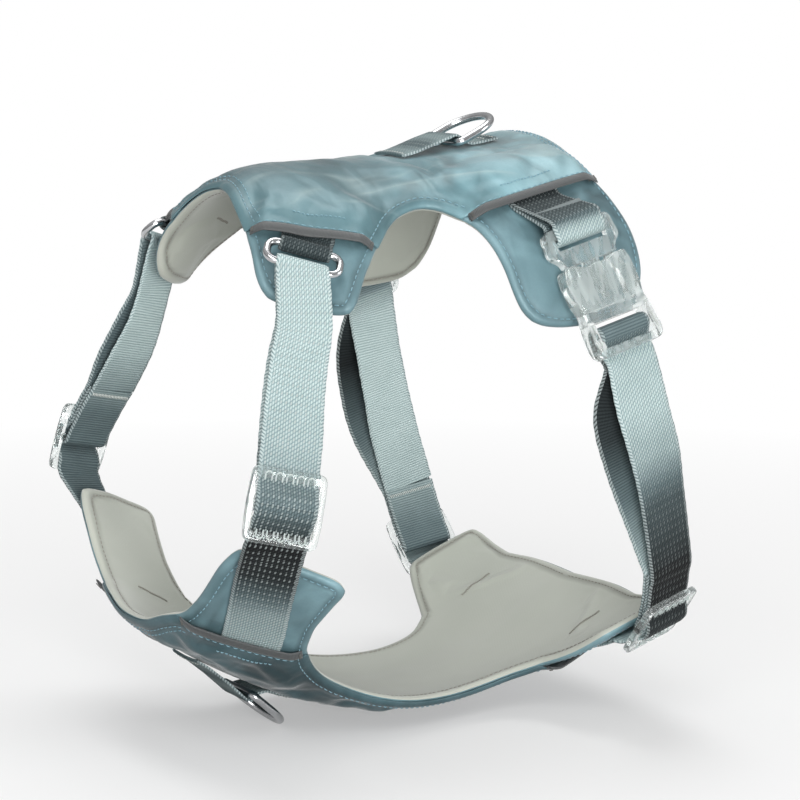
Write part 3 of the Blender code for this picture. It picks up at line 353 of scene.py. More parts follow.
class Nodes:
    """Short forms for building the node tree of a material or world."""

    def __init__(self, owner, shader="Principled BSDF"):
        owner.use_nodes = True
        self.owner, self.tree = owner, owner.node_tree
        self.shader = self.tree.nodes[shader]

    def put(self, socket, value):
        if isinstance(value, (int, float)):
            socket.default_value = value
        elif isinstance(value, tuple):
            colour = len(value) == 3 and socket.type == "RGBA"
            socket.default_value = (*value, 1.0) if colour else value
        else:
            self.tree.links.new(value, socket)

    def add(self, kind, inputs=None, **props):
        node = self.tree.nodes.new(kind)
        for key, value in props.items():
            setattr(node, key, value)
        for key, value in (inputs or {}).items():
            self.put(node.inputs[key], value)
        return node

    def math(self, operation, *values):
        node = self.add("ShaderNodeMath", dict(enumerate(values)), operation=operation)
        return node.outputs[0]

    def times(self, first, *others):
        for value in others:
            first = self.math("MULTIPLY", first, value)
        return first

    def plus(self, first, second):
        return self.math("ADD", first, second)

    def sine(self, value, half_period):
        return self.math("SINE", self.times(value, math.pi / half_period))

    def mix(self, factor, first, second, mode="MIX"):
        inputs = {0: factor, 6: first, 7: second}
        return self.add("ShaderNodeMix", inputs, data_type="RGBA", blend_type=mode).outputs[2]

    def mix_shader(self, factor, first, second):
        return self.add("ShaderNodeMixShader", {0: factor, 1: first, 2: second}).outputs[0]

    def ramp(self, factor, *stops):
        """A colour ramp of (position, colour or grey level) stops."""
        node = self.add("ShaderNodeValToRGB", {0: factor})
        elements = node.color_ramp.elements
        while len(elements) < len(stops):
            elements.new(0.5)
        for element, (position, colour) in zip(elements, stops):
            element.position = position
            element.color = (*(colour if isinstance(colour, tuple) else (colour,) * 3), 1)
        return node.outputs[0]

    def noise(self, coord, scale, detail=2.0, rough=0.5, distortion=0.0):
        return self.add("ShaderNodeTexNoise", {
            "Vector": coord, "Scale": scale, "Detail": detail, "Roughness": rough,
            "Distortion": distortion}).outputs[0]

    def bump(self, height, strength, distance, normal=None):
        inputs = {"Strength": strength, "Distance": distance, "Height": height}
        if normal is not None:
            inputs["Normal"] = normal
        return self.add("ShaderNodeBump", inputs).outputs[0]

    def mapped(self, coord, scale, rotation=(0.0, 0.0, 0.0)):
        return self.add("ShaderNodeMapping",
                        {0: coord, "Scale": scale, "Rotation": rotation}).outputs[0]

    def attr(self, name):
        return self.add("ShaderNodeAttribute", attribute_name=name).outputs["Fac"]

    def split(self, vector):
        return self.add("ShaderNodeSeparateXYZ", {0: vector}).outputs

    def uv(self):
        """The two UV values, in millimetres."""
        return self.split(self.add("ShaderNodeUVMap").outputs[0])[:2]

    def coord(self):
        return self.add("ShaderNodeTexCoord").outputs["Object"]

    def set(self, **inputs):
        for key, value in inputs.items():
            self.put(self.shader.inputs[key.replace("_", " ")], value)
        return self.owner

    def output(self, shader, node="Material Output"):
        self.put(self.tree.nodes[node].inputs[0], shader)


def new_material(name):
    return Nodes(bpy.data.materials.new(name))


def webbing_material():
    """Woven webbing. tone 0 is charcoal and 1 is pale; inner 1 shows weft ribs, not twill."""
    mat = new_material("webbing")
    across, along = mat.uv()
    tone, inner = mat.attr("tone"), mat.attr("inner")
    outer = lambda: mat.math("SUBTRACT", 1.0, inner)
    # twill: warp columns 1.06 mm wide with slanted floats 1.85 mm long, offset on odd columns
    columns = mat.math("DIVIDE", across, 1.06)
    column, in_column = mat.math("FLOOR", columns), mat.math("FRACT", columns)
    odd = mat.times(mat.math("ABSOLUTE", mat.math("MODULO", column, 2.0)), 0.5)
    floats = mat.plus(mat.plus(mat.math("DIVIDE", along, 1.85), odd), mat.times(in_column, 0.36))
    in_float = mat.math("FRACT", floats)
    twill = mat.math("POWER", mat.times(mat.sine(in_column, 1.0), mat.sine(in_float, 1.0)), 0.6)
    # weft ribs with a fine warp
    rib = mat.math("ABSOLUTE", mat.sine(along, 1.15))
    warp = mat.math("ABSOLUTE", mat.sine(across, 0.72))
    ribs = mat.plus(mat.times(rib, 0.75), mat.times(warp, 0.25))
    weave = mat.plus(mat.times(twill, outer()), mat.times(ribs, inner))
    coord = mat.coord()
    patch = mat.noise(coord, scale=120.0, detail=3.0)
    fuzz = mat.noise(coord, scale=1900.0)
    low = mat.ramp(tone, (0.0, (0.003, 0.0035, 0.004)), (0.4, (0.045, 0.072, 0.08)),
                   (1.0, (0.21, 0.32, 0.335)))
    high = mat.ramp(tone, (0.0, (0.014, 0.016, 0.017)), (0.4, (0.165, 0.22, 0.23)),
                    (1.0, (0.66, 0.775, 0.765)))
    raised = mat.times(weave, mat.plus(0.72, mat.times(fuzz, 0.5)))
    colour = mat.mix(mat.math("MINIMUM", raised, 1.0), low, high)
    # pale dots on every other column of the dark stretches
    every = mat.math("LESS_THAN", mat.math("ABSOLUTE", mat.math("MODULO", column, 2.0)), 0.5)
    dots = mat.times(every, mat.math("GREATER_THAN", weave, 0.55), outer())
    drift = mat.times(mat.math("SUBTRACT", patch, 0.5), 0.9)
    kept = mat.plus(mat.math("FRACT", mat.times(floats, 0.5)), drift)
    dots = mat.times(dots, mat.math("GREATER_THAN", kept, 0.34))
    dots = mat.times(dots, mat.plus(0.35, mat.times(fuzz, 0.7)))
    dots = mat.times(dots, 1.15, mat.attr("dots"))
    colour = mat.mix(mat.math("MINIMUM", dots, 1.0), colour, (0.40, 0.45, 0.445))
    # selvedge: a pale twisted edge
    from_middle = mat.math("ABSOLUTE", across)
    edge = mat.times(mat.math("GREATER_THAN", from_middle, WEB_W / 2 - 1.25), mat.attr("selvedge"))
    slant = mat.plus(mat.times(along, math.pi / 1.5), mat.times(from_middle, 1.4))
    twist = mat.math("ABSOLUTE", mat.math("SINE", slant))
    colour = mat.mix(edge, colour, mat.mix(twist, low, mat.mix(0.45, high, (0.60, 0.68, 0.68))))
    cloudy = mat.mix(patch, (0.0, 0.0, 0.0), (1.0, 1.0, 1.0))
    colour = mat.mix(0.20, colour, cloudy, "SOFT_LIGHT")
    height = mat.plus(mat.times(weave, mat.math("SUBTRACT", 1.0, edge)), mat.times(twist, edge))
    normal = mat.bump(height, strength=0.75, distance=0.00035)
    normal = mat.bump(fuzz, strength=0.25, distance=0.00015, normal=normal)
    return mat.set(Base_Color=colour, Roughness=mat.plus(0.55, mat.times(fuzz, 0.25)),
                   Normal=normal, Sheen_Weight=0.03, Sheen_Roughness=0.4, Specular_IOR_Level=0.16)


def paint_back_shell_light(mat, base, coord, shade):
    """Painted light on the back shell: painted shade to the front and on the front ridge, a painted
    highlight to the rear, and painted highlight streaks like those on creased satin.
    """
    x, _, z = mat.split(coord)
    lengthwise = lambda: mat.plus(mat.times(x, 5.0), 0.5)
    # painted shade to the front and a painted highlight to the rear, by station along the body
    tint = mat.ramp(lengthwise(), (0.15, 0.66), (0.42, 0.66), (0.62, 0.98),
                    (0.85, (1.80, 1.50, 1.45)))
    base = mat.mix(1.0, base, tint, "MULTIPLY")
    # painted shade on the top ridge towards the front
    ridge = mat.ramp(mat.times(mat.math("SUBTRACT", z, 0.216), 30.0), (0.1, 0), (0.9, 1))
    ahead = mat.ramp(lengthwise(), (0.36, 1), (0.58, 0))
    base = mat.mix(mat.times(ridge, ahead, 0.55), base, shade(0.34))
    # painted highlight streaks: thin bands of stretched noise, broken into patches
    highlight_streak_coord = mat.mapped(coord, scale=(0.30, 1.0, 1.0), rotation=(0.15, 0.75, 0.35))
    lines = mat.ramp(mat.noise(highlight_streak_coord, scale=46.0, detail=1.0, rough=0.35, distortion=0.5),
                     (0.50, 0), (0.555, 1), (0.575, 0.55), (0.64, 0))
    patchy = mat.ramp(mat.noise(coord, scale=34.0), (0.44, 0), (0.60, 1))
    return mat.mix(mat.times(lines, patchy, 0.38), base, (0.40, 0.50, 0.49))


def satin_material(name, tint, by_place=False):
    """Satin shell: fine weave, soft colour drift whose dark and pale ends act as painted shade and
    painted highlight, painted highlights on the folds, painted shade in the sewn groove, and a sheen.
    """
    mat = new_material(name)
    across, along = mat.uv()
    coord = mat.coord()
    shade = lambda factor, lift=0.0: tuple(min(1.0, c * factor + lift) for c in tint)
    drift = mat.noise(coord, scale=17.0, detail=3.0, rough=0.55, distortion=0.8)
    stretched = mat.mapped(coord, scale=(1.0, 0.42, 0.55), rotation=(0.3, 0.2, 0.65))
    fold = mat.noise(stretched, scale=52.0, detail=2.0, rough=0.45, distortion=1.2)
    fine = mat.noise(coord, scale=900.0)
    weave = mat.times(mat.sine(across, 0.42), mat.sine(along, 0.34))
    # colour drift: partly tone that differs at random, partly painted shade at its dark end and
    # painted highlight at its pale end
    base = mat.ramp(drift, (0.34, shade(0.46)), (0.52, tint), (0.68, shade(1.55, 0.035)))
    # painted highlight on the crests of the fold noise, which also drives the bump
    base = mat.mix(mat.times(mat.ramp(fold, (0.42, 0), (0.66, 1)), 0.46), base, shade(1.6, 0.045))
    # painted shade and highlights by place, on the back shell only
    if by_place:
        base = paint_back_shell_light(mat, base, coord, shade)
    base = mat.mix(mat.times(fine, 0.18), base, shade(0.55))
    # painted shade in the groove by a stitched edge, and a painted highlight on the roll outside it
    base = mat.mix(mat.times(mat.attr("seam"), 0.60), base, shade(0.38))
    base = mat.mix(mat.times(mat.attr("rim"), 0.28), base, shade(1.3, 0.03))
    normal = mat.bump(fold, strength=0.55, distance=0.0026)
    normal = mat.bump(weave, strength=0.14, distance=0.00012, normal=normal)
    normal = mat.bump(fine, strength=0.12, distance=0.0001, normal=normal)
    return mat.set(Base_Color=base, Roughness=mat.plus(0.36, mat.times(fine, 0.16)),
                   Anisotropic=0.5, Metallic=0.12, Normal=normal, Sheen_Weight=0.30,
                   Sheen_Roughness=0.30)


def lining_material():
    """Matt knit, with painted shade in the sewn groove and a painted highlight on the rolled edge."""
    mat = new_material("lining")
    across, along = mat.uv()
    coord = mat.coord()
    drift = mat.noise(coord, scale=16.0)
    fine = mat.noise(coord, scale=1500.0)
    knit = mat.times(mat.sine(across, 0.5), mat.sine(along, 0.6))
    base = mat.ramp(drift, (0.3, (0.375, 0.395, 0.345)), (0.7, (0.445, 0.465, 0.41)))
    base = mat.mix(mat.times(fine, 0.14), base, (0.36, 0.38, 0.33))
    # painted shade in the sewn groove, then a painted highlight on the rolled edge
    base = mat.mix(mat.times(mat.attr("seam"), 0.76), base, (0.13, 0.13, 0.108))
    base = mat.mix(mat.times(mat.attr("rim"), 0.35), base, (0.62, 0.63, 0.56))
    normal = mat.bump(knit, strength=0.16, distance=0.00018)
    normal = mat.bump(fine, strength=0.12, distance=0.0001, normal=normal)
    return mat.set(Base_Color=base, Roughness=0.86, Normal=normal, Sheen_Weight=0.45,
                   Sheen_Roughness=0.5)


def tape_material():
    """Dark tape with ribs across it."""
    mat = new_material("tape")
    _, along = mat.uv()
    rib = mat.math("ABSOLUTE", mat.sine(along, 0.55))
    fine = mat.noise(mat.coord(), scale=1200.0)
    base = mat.mix(rib, (0.036, 0.039, 0.040), (0.074, 0.080, 0.081))
    base = mat.mix(mat.times(fine, 0.3), base, (0.118, 0.125, 0.126))
    return mat.set(Base_Color=base, Roughness=0.46, Sheen_Weight=0.2,
                   Normal=mat.bump(rib, strength=0.4, distance=0.00016))


def thread_material(name, colour):
    mat = new_material(name)
    fine = mat.noise(mat.coord(), scale=2500.0)
    base = mat.mix(fine, tuple(c * 0.75 for c in colour), tuple(min(1, c * 1.2) for c in colour))
    return mat.set(Base_Color=base, Roughness=0.55, Sheen_Weight=0.2,
                   Normal=mat.bump(fine, strength=0.5, distance=0.0001))


def chrome_material():
    """Plated metal with slight wear."""
    mat = new_material("chrome")
    coord = mat.coord()
    fine = mat.noise(coord, scale=700.0, detail=3.0)
    wear = mat.noise(coord, scale=90.0, detail=4.0, rough=0.6)
    base = mat.ramp(wear, (0.35, (0.62, 0.63, 0.645)), (0.65, (0.80, 0.81, 0.825)))
    return mat.set(Base_Color=base, Metallic=1.0, Roughness=mat.plus(0.13, mat.times(fine, 0.14)),
                   Normal=mat.bump(fine, strength=0.05, distance=0.0001))


def clear_material(name, milky, streaked=0.0):
    """Clear moulded plastic: milky is the share of haze, streaked adds haze in flow lines."""
    mat = new_material(name)
    coord = mat.coord()
    flow = mat.noise(coord, scale=55.0, detail=3.0, rough=0.5, distortion=1.5)
    fine = mat.noise(coord, scale=600.0)
    base = mat.ramp(flow, (0.3, (0.93, 0.97, 0.96)), (0.7, (0.98, 0.995, 0.99)))
    normal = mat.bump(flow, strength=0.12, distance=0.0004)
    haze = milky
    if streaked:
        down = mat.mapped(coord, scale=(1.0, 0.55, 0.10))
        lines = mat.ramp(mat.noise(down, scale=310.0, detail=1.0, rough=0.4), (0.44, 0), (0.58, 1))
        haze = mat.plus(milky * 0.55, mat.times(lines, streaked))
        normal = mat.bump(lines, strength=0.22, distance=0.0004, normal=normal)
    mat.set(Base_Color=base, Roughness=mat.plus(0.03, mat.times(fine, 0.07)), IOR=1.45,
            Transmission_Weight=1.0, Normal=normal, Coat_Weight=0.15, Specular_IOR_Level=0.6)
    through = mat.add("ShaderNodeBsdfTranslucent", {0: (0.90, 0.95, 0.94)}).outputs[0]
    diffuse = mat.add("ShaderNodeBsdfDiffuse", {0: (0.82, 0.89, 0.88)}).outputs[0]
    milk = mat.mix_shader(0.5, through, diffuse)
    mat.output(mat.mix_shader(haze, mat.shader.outputs[0], milk))
    return mat.owner


M_WEB = webbing_material()
M_SATIN = satin_material("satin_shell", (0.142, 0.276, 0.311), by_place=True)
# the chest shell: the back's satin darkened throughout as painted shade, for a cover that faces down
M_SATIN_CHEST_SHADED = satin_material("satin_chest_painted_shade", (0.052, 0.108, 0.125))
M_SATIN_TAB = satin_material("satin_pocket", (0.132, 0.232, 0.262))
M_FROST = clear_material("frosted_plastic", milky=0.62)
M_LINING = lining_material()
M_TAPE = tape_material()
M_CHROME = chrome_material()
M_CLEAR = clear_material("clear_plastic", milky=0.10)
M_BUCKLE = clear_material("milky_plastic", milky=0.20, streaked=0.22)
T_BLUE = thread_material("thread_blue", (0.20, 0.36, 0.43))
T_DARK = thread_material("thread_dark", (0.105, 0.105, 0.095))
T_MID = thread_material("thread_mid", (0.20, 0.235, 0.24))
T_PALE = thread_material("thread_pale", (0.60, 0.63, 0.60))
T_LINING = thread_material("thread_lining", (0.27, 0.26, 0.225))
T_BLACK = thread_material("thread_black", (0.04, 0.043, 0.045))
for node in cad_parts.values():
    node.data.materials.clear()
    node.data.materials.append(M_SATIN)


# ================================================================ padded panels

def cover_peak(layers):
    """Height of the shell's middle over so many layers of webbing."""
    return (SHEET_MID + FABRIC_T / 2 + GAP + layers * (WEB_T + GAP) + FABRIC_T / 2
            + MOUTH_EASE)


# counts: steps along front mouth, waist and rear mouth, then up the body, front and rear tabs.
# strip: x range of the D ring's webbing. webbing: start, end and half width of the bands that
# lie on the right tabs.
PANELS = {
    "back": SimpleNamespace(
        surface=BACK, outline=BACK_OUTLINE, peak=cover_peak(2), shell_mat=M_SATIN,
        counts=(22, 26, 28, 26, 16, 26), strip=(26, 79),
        webbing=[((-35.7, 48.9), (-50, 69), 16), ((61, 55), (63.5, 84), 17),
                 ((63.5, 84), (70, 122), 21)]),
    "chest": SimpleNamespace(
        surface=CHEST, outline=CHEST_OUTLINE, peak=cover_peak(1), shell_mat=M_SATIN_CHEST_SHADED,
        counts=(24, 56, 24, 24, 26, 16), strip=(-73, -24),
        webbing=[((-74.2, 94), (-66, 46), 15), ((107.5, 86), (107.5, 46), 15)]),
}
STRIP_HALF = 14         # half width kept flat under a D ring's webbing
CLOTH_FRAMES = 20


def panel_grids(panel):
    """Flat grids of the right half: body, front tab and rear tab."""
    outline = panel.outline
    front_n, waist_n, rear_n, body_n, front_tab_n, rear_tab_n = panel.counts
    front_mouth = resample(outline["mouth_front"], front_n)
    rear_mouth = resample(outline["mouth_rear"], rear_n)
    edge = np.vstack([front_mouth, resample(outline["waist"], waist_n)[1:], rear_mouth[1:]])
    front, rear = resample(outline["front"], body_n), resample(outline["rear"], body_n)
    start, end = front[0][0], rear[0][0]
    share = (edge[:, 0] - edge[0, 0]) / (edge[-1, 0] - edge[0, 0])
    spine = np.stack([start + (end - start) * share, np.zeros(len(edge))], -1)
    grids = [coons(spine, edge, front, rear)]
    for key, base, rise in (("front_tab", front_mouth, front_tab_n),
                            ("rear_tab", rear_mouth, rear_tab_n)):
        tab = outline[key]
        grids.append(coons(base, resample(tab["top"], len(base) - 1),
                           resample(tab["left"], rise), resample(tab["right"], rise)))
    return grids


def flat_mesh(grids):
    """Welds grids and their mirror images: flat points, quads, and each quad's grid number."""
    points, quads, kind, index = [], [], [], {}
    for number, grid in enumerate(grids):
        for side in (1, -1):
            ids = np.zeros(grid.shape[:2], int)
            for i in range(grid.shape[0]):
                for j in range(grid.shape[1]):
                    x, arc = grid[i, j]
                    key = (round(float(x), 2), round(float(arc) * side, 2) + 0.0)
                    if key not in index:
                        index[key] = len(points)
                        points.append((float(x), float(arc) * side))
                    ids[i, j] = index[key]
            for i in range(grid.shape[0] - 1):
                for j in range(grid.shape[1] - 1):
                    quad = [ids[i, j], ids[i + 1, j], ids[i + 1, j + 1], ids[i, j + 1]]
                    if len(set(quad)) == 4:
                        quads.append(quad if side > 0 else quad[::-1])
                        kind.append(number)
    return np.array(points), np.array(quads), np.array(kind)


def rim_edges(quads):
    """Directed boundary edges of a quad sheet."""
    seen = {}
    for quad in quads:
        for a, b in zip(quad, np.roll(quad, -1)):
            key = (min(a, b), max(a, b))
            seen[key] = None if key in seen else (a, b)
    return [edge for edge in seen.values() if edge is not None]


def chained(rim):
    """The rim's edges in order round the sheet."""
    follow = dict(rim)
    start = rim[0][0]
    chain = [(start, follow[start])]
    while chain[-1][1] != start and len(chain) < len(rim):
        chain.append((chain[-1][1], follow[chain[-1][1]]))
    return chain


def nearest_on(points, starts, ends):
    """Distance from each point to a set of segments, and the running length where it is least."""
    starts, ends = np.asarray(starts, float), np.asarray(ends, float)
    run = np.r_[0, np.cumsum(np.linalg.norm(ends - starts, axis=1))][:-1]
    best, where = np.full(len(points), 1e9), np.zeros(len(points))
    for start, end, before in zip(starts, ends, run):
        line = end - start
        square = line @ line
        if square < 1e-12:
            continue
        t = np.clip(((points - start) @ line) / square, 0, 1)
        gap = np.hypot(*(points - start - t[:, None] * line).T)
        near = gap < best
        best = np.where(near, gap, best)
        where = np.where(near, before + t * math.sqrt(square), where)
    return best, where


def distance(points, starts, ends):
    return nearest_on(points, starts, ends)[0]


def mouth_distance(outline, points):
    """Distance to the nearest of the four pocket mouths."""
    best = np.full(len(points), 1e9)
    for key in MOUTHS:
        mouth = resample(outline[key], 24)
        for line in (mouth, mouth * [1, -1]):
            best = np.minimum(best, distance(points, line[:-1], line[1:]))
    return best


def lift_height(panel, points):
    """Height of the shell's middle, raised over the pocket mouths."""
    height = np.full(len(points), float(FLAT))
    right = np.stack([points[:, 0], np.abs(points[:, 1])], -1)
    for key in MOUTHS:
        mouth = resample(panel.outline[key], 24)
        start, end = mouth[0], mouth[-1]
        way = unit(end - start)
        along = ((right - start) @ way) / np.linalg.norm(end - start)
        depth = -((right - start) @ np.array([-way[1], way[0]]))
        lift = (smooth(along / 0.15) * smooth((1 - along) / 0.15)
                * smooth(1 - (depth - 10) / 26))
        height = np.maximum(height, FLAT + (panel.peak - FLAT) * lift)
    return height


def crumple(sheet, edge, amount):
    """Puckers along a sewn edge and soft folds across the sheet, in millimetres of height."""
    height = np.zeros(len(sheet.flat))
    for k, ((x, arc), away, run) in enumerate(zip(sheet.flat, edge, sheet.run)):
        wave = run / 8.5 + 1.3 * noise.noise(Vector((run * 0.05, 3.1, 0.0)))
        pucker = math.sin(2 * math.pi * wave) * math.exp(-max(0.0, away - 4.5) / 5.5) * 0.34
        broad = noise.noise(Vector((x * 0.030 + 0.012 * arc, abs(arc) * 0.085 - x * 0.02,
                                    7.3 + 0.4 * (arc > 0))))
        small = noise.noise(Vector((x * 0.075, arc * 0.05, 1.7)))
        height[k] = pucker + (1.0 * math.copysign(abs(broad) ** 0.8, broad) + 0.5 * small)
    return height * amount


def flat_sheet(panel, grids):
    flat, quads, kind = flat_mesh(grids)
    rim = rim_edges(quads)
    ends_of = lambda edges: (flat[[e[0] for e in edges]], flat[[e[1] for e in edges]])
    starts, ends = ends_of(rim)
    return SimpleNamespace(flat=flat, quads=quads, kind=kind, rim=rim, starts=starts, ends=ends,
                           mouth=mouth_distance(panel.outline, flat),
                           run=nearest_on(flat, *ends_of(chained(rim)))[1])


# Each skin holds its object, rest points and normals; cap and low limit how far a point moves out and
# in; pin is 1 where it is held; bulge is a share of cap.

def build_pad(name, panel):
    """A closed pad of lining over the whole panel, with satin on its outer side."""
    surface = panel.surface
    sheet = flat_sheet(panel, panel_grids(panel))
    flat, quads = sheet.flat, sheet.quads
    edge = distance(flat, sheet.starts, sheet.ends)
    on_tab = np.zeros(len(flat), bool)
    on_tab[np.unique(quads[sheet.kind > 0])] = True
    tabness = np.where(on_tab, 1.0, 1 - smooth((sheet.mouth - 3) / 8))
    roll = rolled(edge / 2.6)
    seam = np.exp(-((edge - 3.9) / 0.85) ** 2)
    inner = -PAD_HALF * roll + 0.75 * seam
    outer = (1.1 + 1.25 * tabness) * roll - 0.70 * seam * tabness
    count = len(flat)
    boundary = np.zeros(count, bool)
    boundary[[e[0] for e in sheet.rim]] = True
    # the outer side has its own vertices except on the rim
    outer_id = np.where(boundary, np.arange(count), -1)
    free = np.nonzero(~boundary)[0]
    outer_id[free] = count + np.arange(len(free))
    points = np.vstack([surface.off(flat, inner), surface.off(flat, outer)[free]])
    source = np.r_[np.arange(count), free]
    is_out = np.r_[np.zeros(count, bool), np.ones(len(free), bool)]
    normals = surface.normal(flat[source]) * np.where(is_out, 1, -1)[:, None]
    faces = list(quads[:, ::-1]) + [outer_id[q] for q in quads]
    ob = make(name + "_pad", place(points), faces, [M_LINING, M_SATIN_TAB],
              [0] * len(quads) + [1] * len(quads))
    from_web = np.full(len(source), 1e9)
    for start, end, half in panel.webbing:
        for side in (1, -1):
            gap = distance(flat[source], [np.array(start) * [1, side]],
                           [np.array(end) * [1, side]])
            from_web = np.minimum(from_web, gap - half)
    near = edge[source]
    tabness = tabness[source]
    covered = is_out & (tabness < 0.99)
    cap = np.where(is_out, 0.25 + 0.9 * smooth(from_web / 6), 1.3) * smooth((near - 4.2) / 9)
    cap[covered] = 0.0
    amount = np.where(is_out, 0.55 * smooth((from_web - 1) / 6) * (tabness > 0.99), 0.28)
    return SimpleNamespace(
        ob=ob, points=points, normals=normals, cap=cap, low=np.where(is_out, 0.15, 0.3),
        pin=(near < 4.6) | covered, bulge=0.55, edge=near, seam=seam[source], uv=flat[source],
        fold=crumple(sheet, edge, smooth((edge - 4.6) / 4))[source] * amount,
        cloth=dict(pressure=4.0, growth=0.035, bending=0.25))


def build_shell(name, panel):
    """The satin cover: sewn down at the front, waist and rear, lifted over the webbing."""
    surface = panel.surface
    sheet = flat_sheet(panel, panel_grids(panel)[:1])
    flat, mouth = sheet.flat, sheet.mouth
    sewn = mouth_distance(panel.outline, (sheet.starts + sheet.ends) / 2) > 0.3
    edge = distance(flat, sheet.starts[sewn], sheet.ends[sewn])
    seam = np.exp(-((edge - 4.1) / 0.9) ** 2)
    height = lift_height(panel, flat) * (0.16 + 0.84 * rolled(edge / 3.4)) - 0.55 * seam
    points = surface.off(flat, height)
    ob = make(name + "_shell", place(points), sheet.quads, [panel.shell_mat], closed=False)
    start, end = panel.strip
    from_strip = np.maximum(np.abs(flat[:, 1]) - STRIP_HALF,
                            np.maximum(start - 3 - flat[:, 0], flat[:, 0] - end - 3))
    clear = smooth(from_strip / 7)
    cap = 1.9 * smooth((edge - 4.2) / 10) * smooth((mouth - 1.5) / 8) * clear
    inside = smooth((mouth - 2) / 5)
    fold = crumple(sheet, edge, smooth((edge - 4.8) / 4) * inside * clear)
    return SimpleNamespace(
        ob=ob, points=points, normals=surface.normal(flat), cap=cap, low=0.25,
        pin=(edge < 4.8) | (mouth < 2.6) | (from_strip < 0), bulge=0.5, edge=edge, seam=seam,
        uv=flat, fold=fold * 0.85 + 0.25 * smooth((edge - 4.8) / 8) * clear * inside,
        cloth=dict(pressure=2.5, growth=0.050, bending=0.12))


def add_cloth(skin, pressure, growth, bending):
    group = skin.ob.vertex_groups.new(name="pin")
    group.add([int(i) for i in np.nonzero(skin.pin)[0]], 1.0, "REPLACE")
    cloth = skin.ob.modifiers.new("Cloth", "CLOTH")
    settings = cloth.settings
    settings.quality = 6
    settings.mass = 0.25
    settings.tension_stiffness = settings.compression_stiffness = 12.0
    settings.shear_stiffness = 6.0
    settings.bending_stiffness = bending
    settings.air_damping = 2.0
    settings.vertex_group_mass = "pin"
    settings.effector_weights.gravity = 0.0
    settings.use_pressure = True
    settings.uniform_pressure_force = pressure
    settings.shrink_min = -growth
    cloth.collision_settings.use_self_collision = False
    cloth.collision_settings.use_collision = False
    cloth.point_cache.frame_start, cloth.point_cache.frame_end = 1, CLOTH_FRAMES


def simulate(skins):
    """Runs all the cloths together and returns their settled points in metres."""
    for skin in skins:
        add_cloth(skin, **skin.cloth)
    for number in range(1, CLOTH_FRAMES + 1):
        scene.frame_set(number)
    graph = bpy.context.evaluated_depsgraph_get()
    settled = []
    for skin in skins:
        mesh = skin.ob.evaluated_get(graph).data
        coords = np.zeros(len(mesh.vertices) * 3, np.float32)
        mesh.vertices.foreach_get("co", coords)
        settled.append(coords.reshape(-1, 3).astype(float))
    for skin in skins:
        skin.ob.modifiers.clear()
        skin.ob.vertex_groups.clear()
    scene.frame_set(1)
    return settled


def inflate(skin, settled):
    """Moves a skin to its settled points within its limits, and adds the folds."""
    move = (settled - place(skin.points)) / MM
    along = (move * skin.normals).sum(1)
    free = skin.cap > 0.01
    height = np.where(along > 0, skin.cap * np.tanh(along / np.maximum(skin.cap, 1e-3)),
                      -skin.low * np.tanh(-along / skin.low) * free)
    slide = move - along[:, None] * skin.normals
    size = np.linalg.norm(slide, axis=1, keepdims=True)
    slide = slide / np.maximum(size, 1e-6) * np.minimum(size, 0.35) * free[:, None]
    moved = skin.points + skin.normals * (height + skin.fold)[:, None] + slide
    skin.ob.data.vertices.foreach_set("co", place(moved).astype(np.float32).ravel())
    skin.ob.data.update()


def finish_skin(skin, slot, replaced, thickness=None):
    uv_from_points(skin.ob, skin.uv)
    # seam and rim masks drive painted shade in the sewn groove and a painted highlight on the rolled
    # edge
    point_attribute(skin.ob, "seam", skin.seam)
    point_attribute(skin.ob, "rim", smooth(1 - skin.edge / 2.6))
    if thickness:
        solid = skin.ob.modifiers.new("cloth_thickness", "SOLIDIFY")
        solid.thickness = thickness * MM
        solid.offset = 0.0
    rounding = skin.ob.modifiers.new("round", "SUBSURF")
    rounding.levels = rounding.render_levels = 1
    register(skin.ob, "harness", slot, *replaced)


skins = []
for name, panel in PANELS.items():
    panel.pad, panel.shell = build_pad(name, panel), build_shell(name, panel)
    skins += [panel.pad, panel.shell]
results = simulate(skins)
for skin, settled in zip(skins, results):
    inflate(skin, settled)
for name, panel in PANELS.items():
    tabs = [f"{name}_{end}_tab_cover_{hand}" for end in ("front", "rear")
            for hand in ("left", "right")]
    finish_skin(panel.pad, "lining", [f"{name}_lining", f"{name}_foam", *tabs])
    finish_skin(panel.shell, "satin", [f"{name}_cover"], thickness=0.8)


# ================================================================ stitching and tape

STITCH_FACES = side_faces(5, 6) + [list(range(5, -1, -1)), list(range(24, 30))]


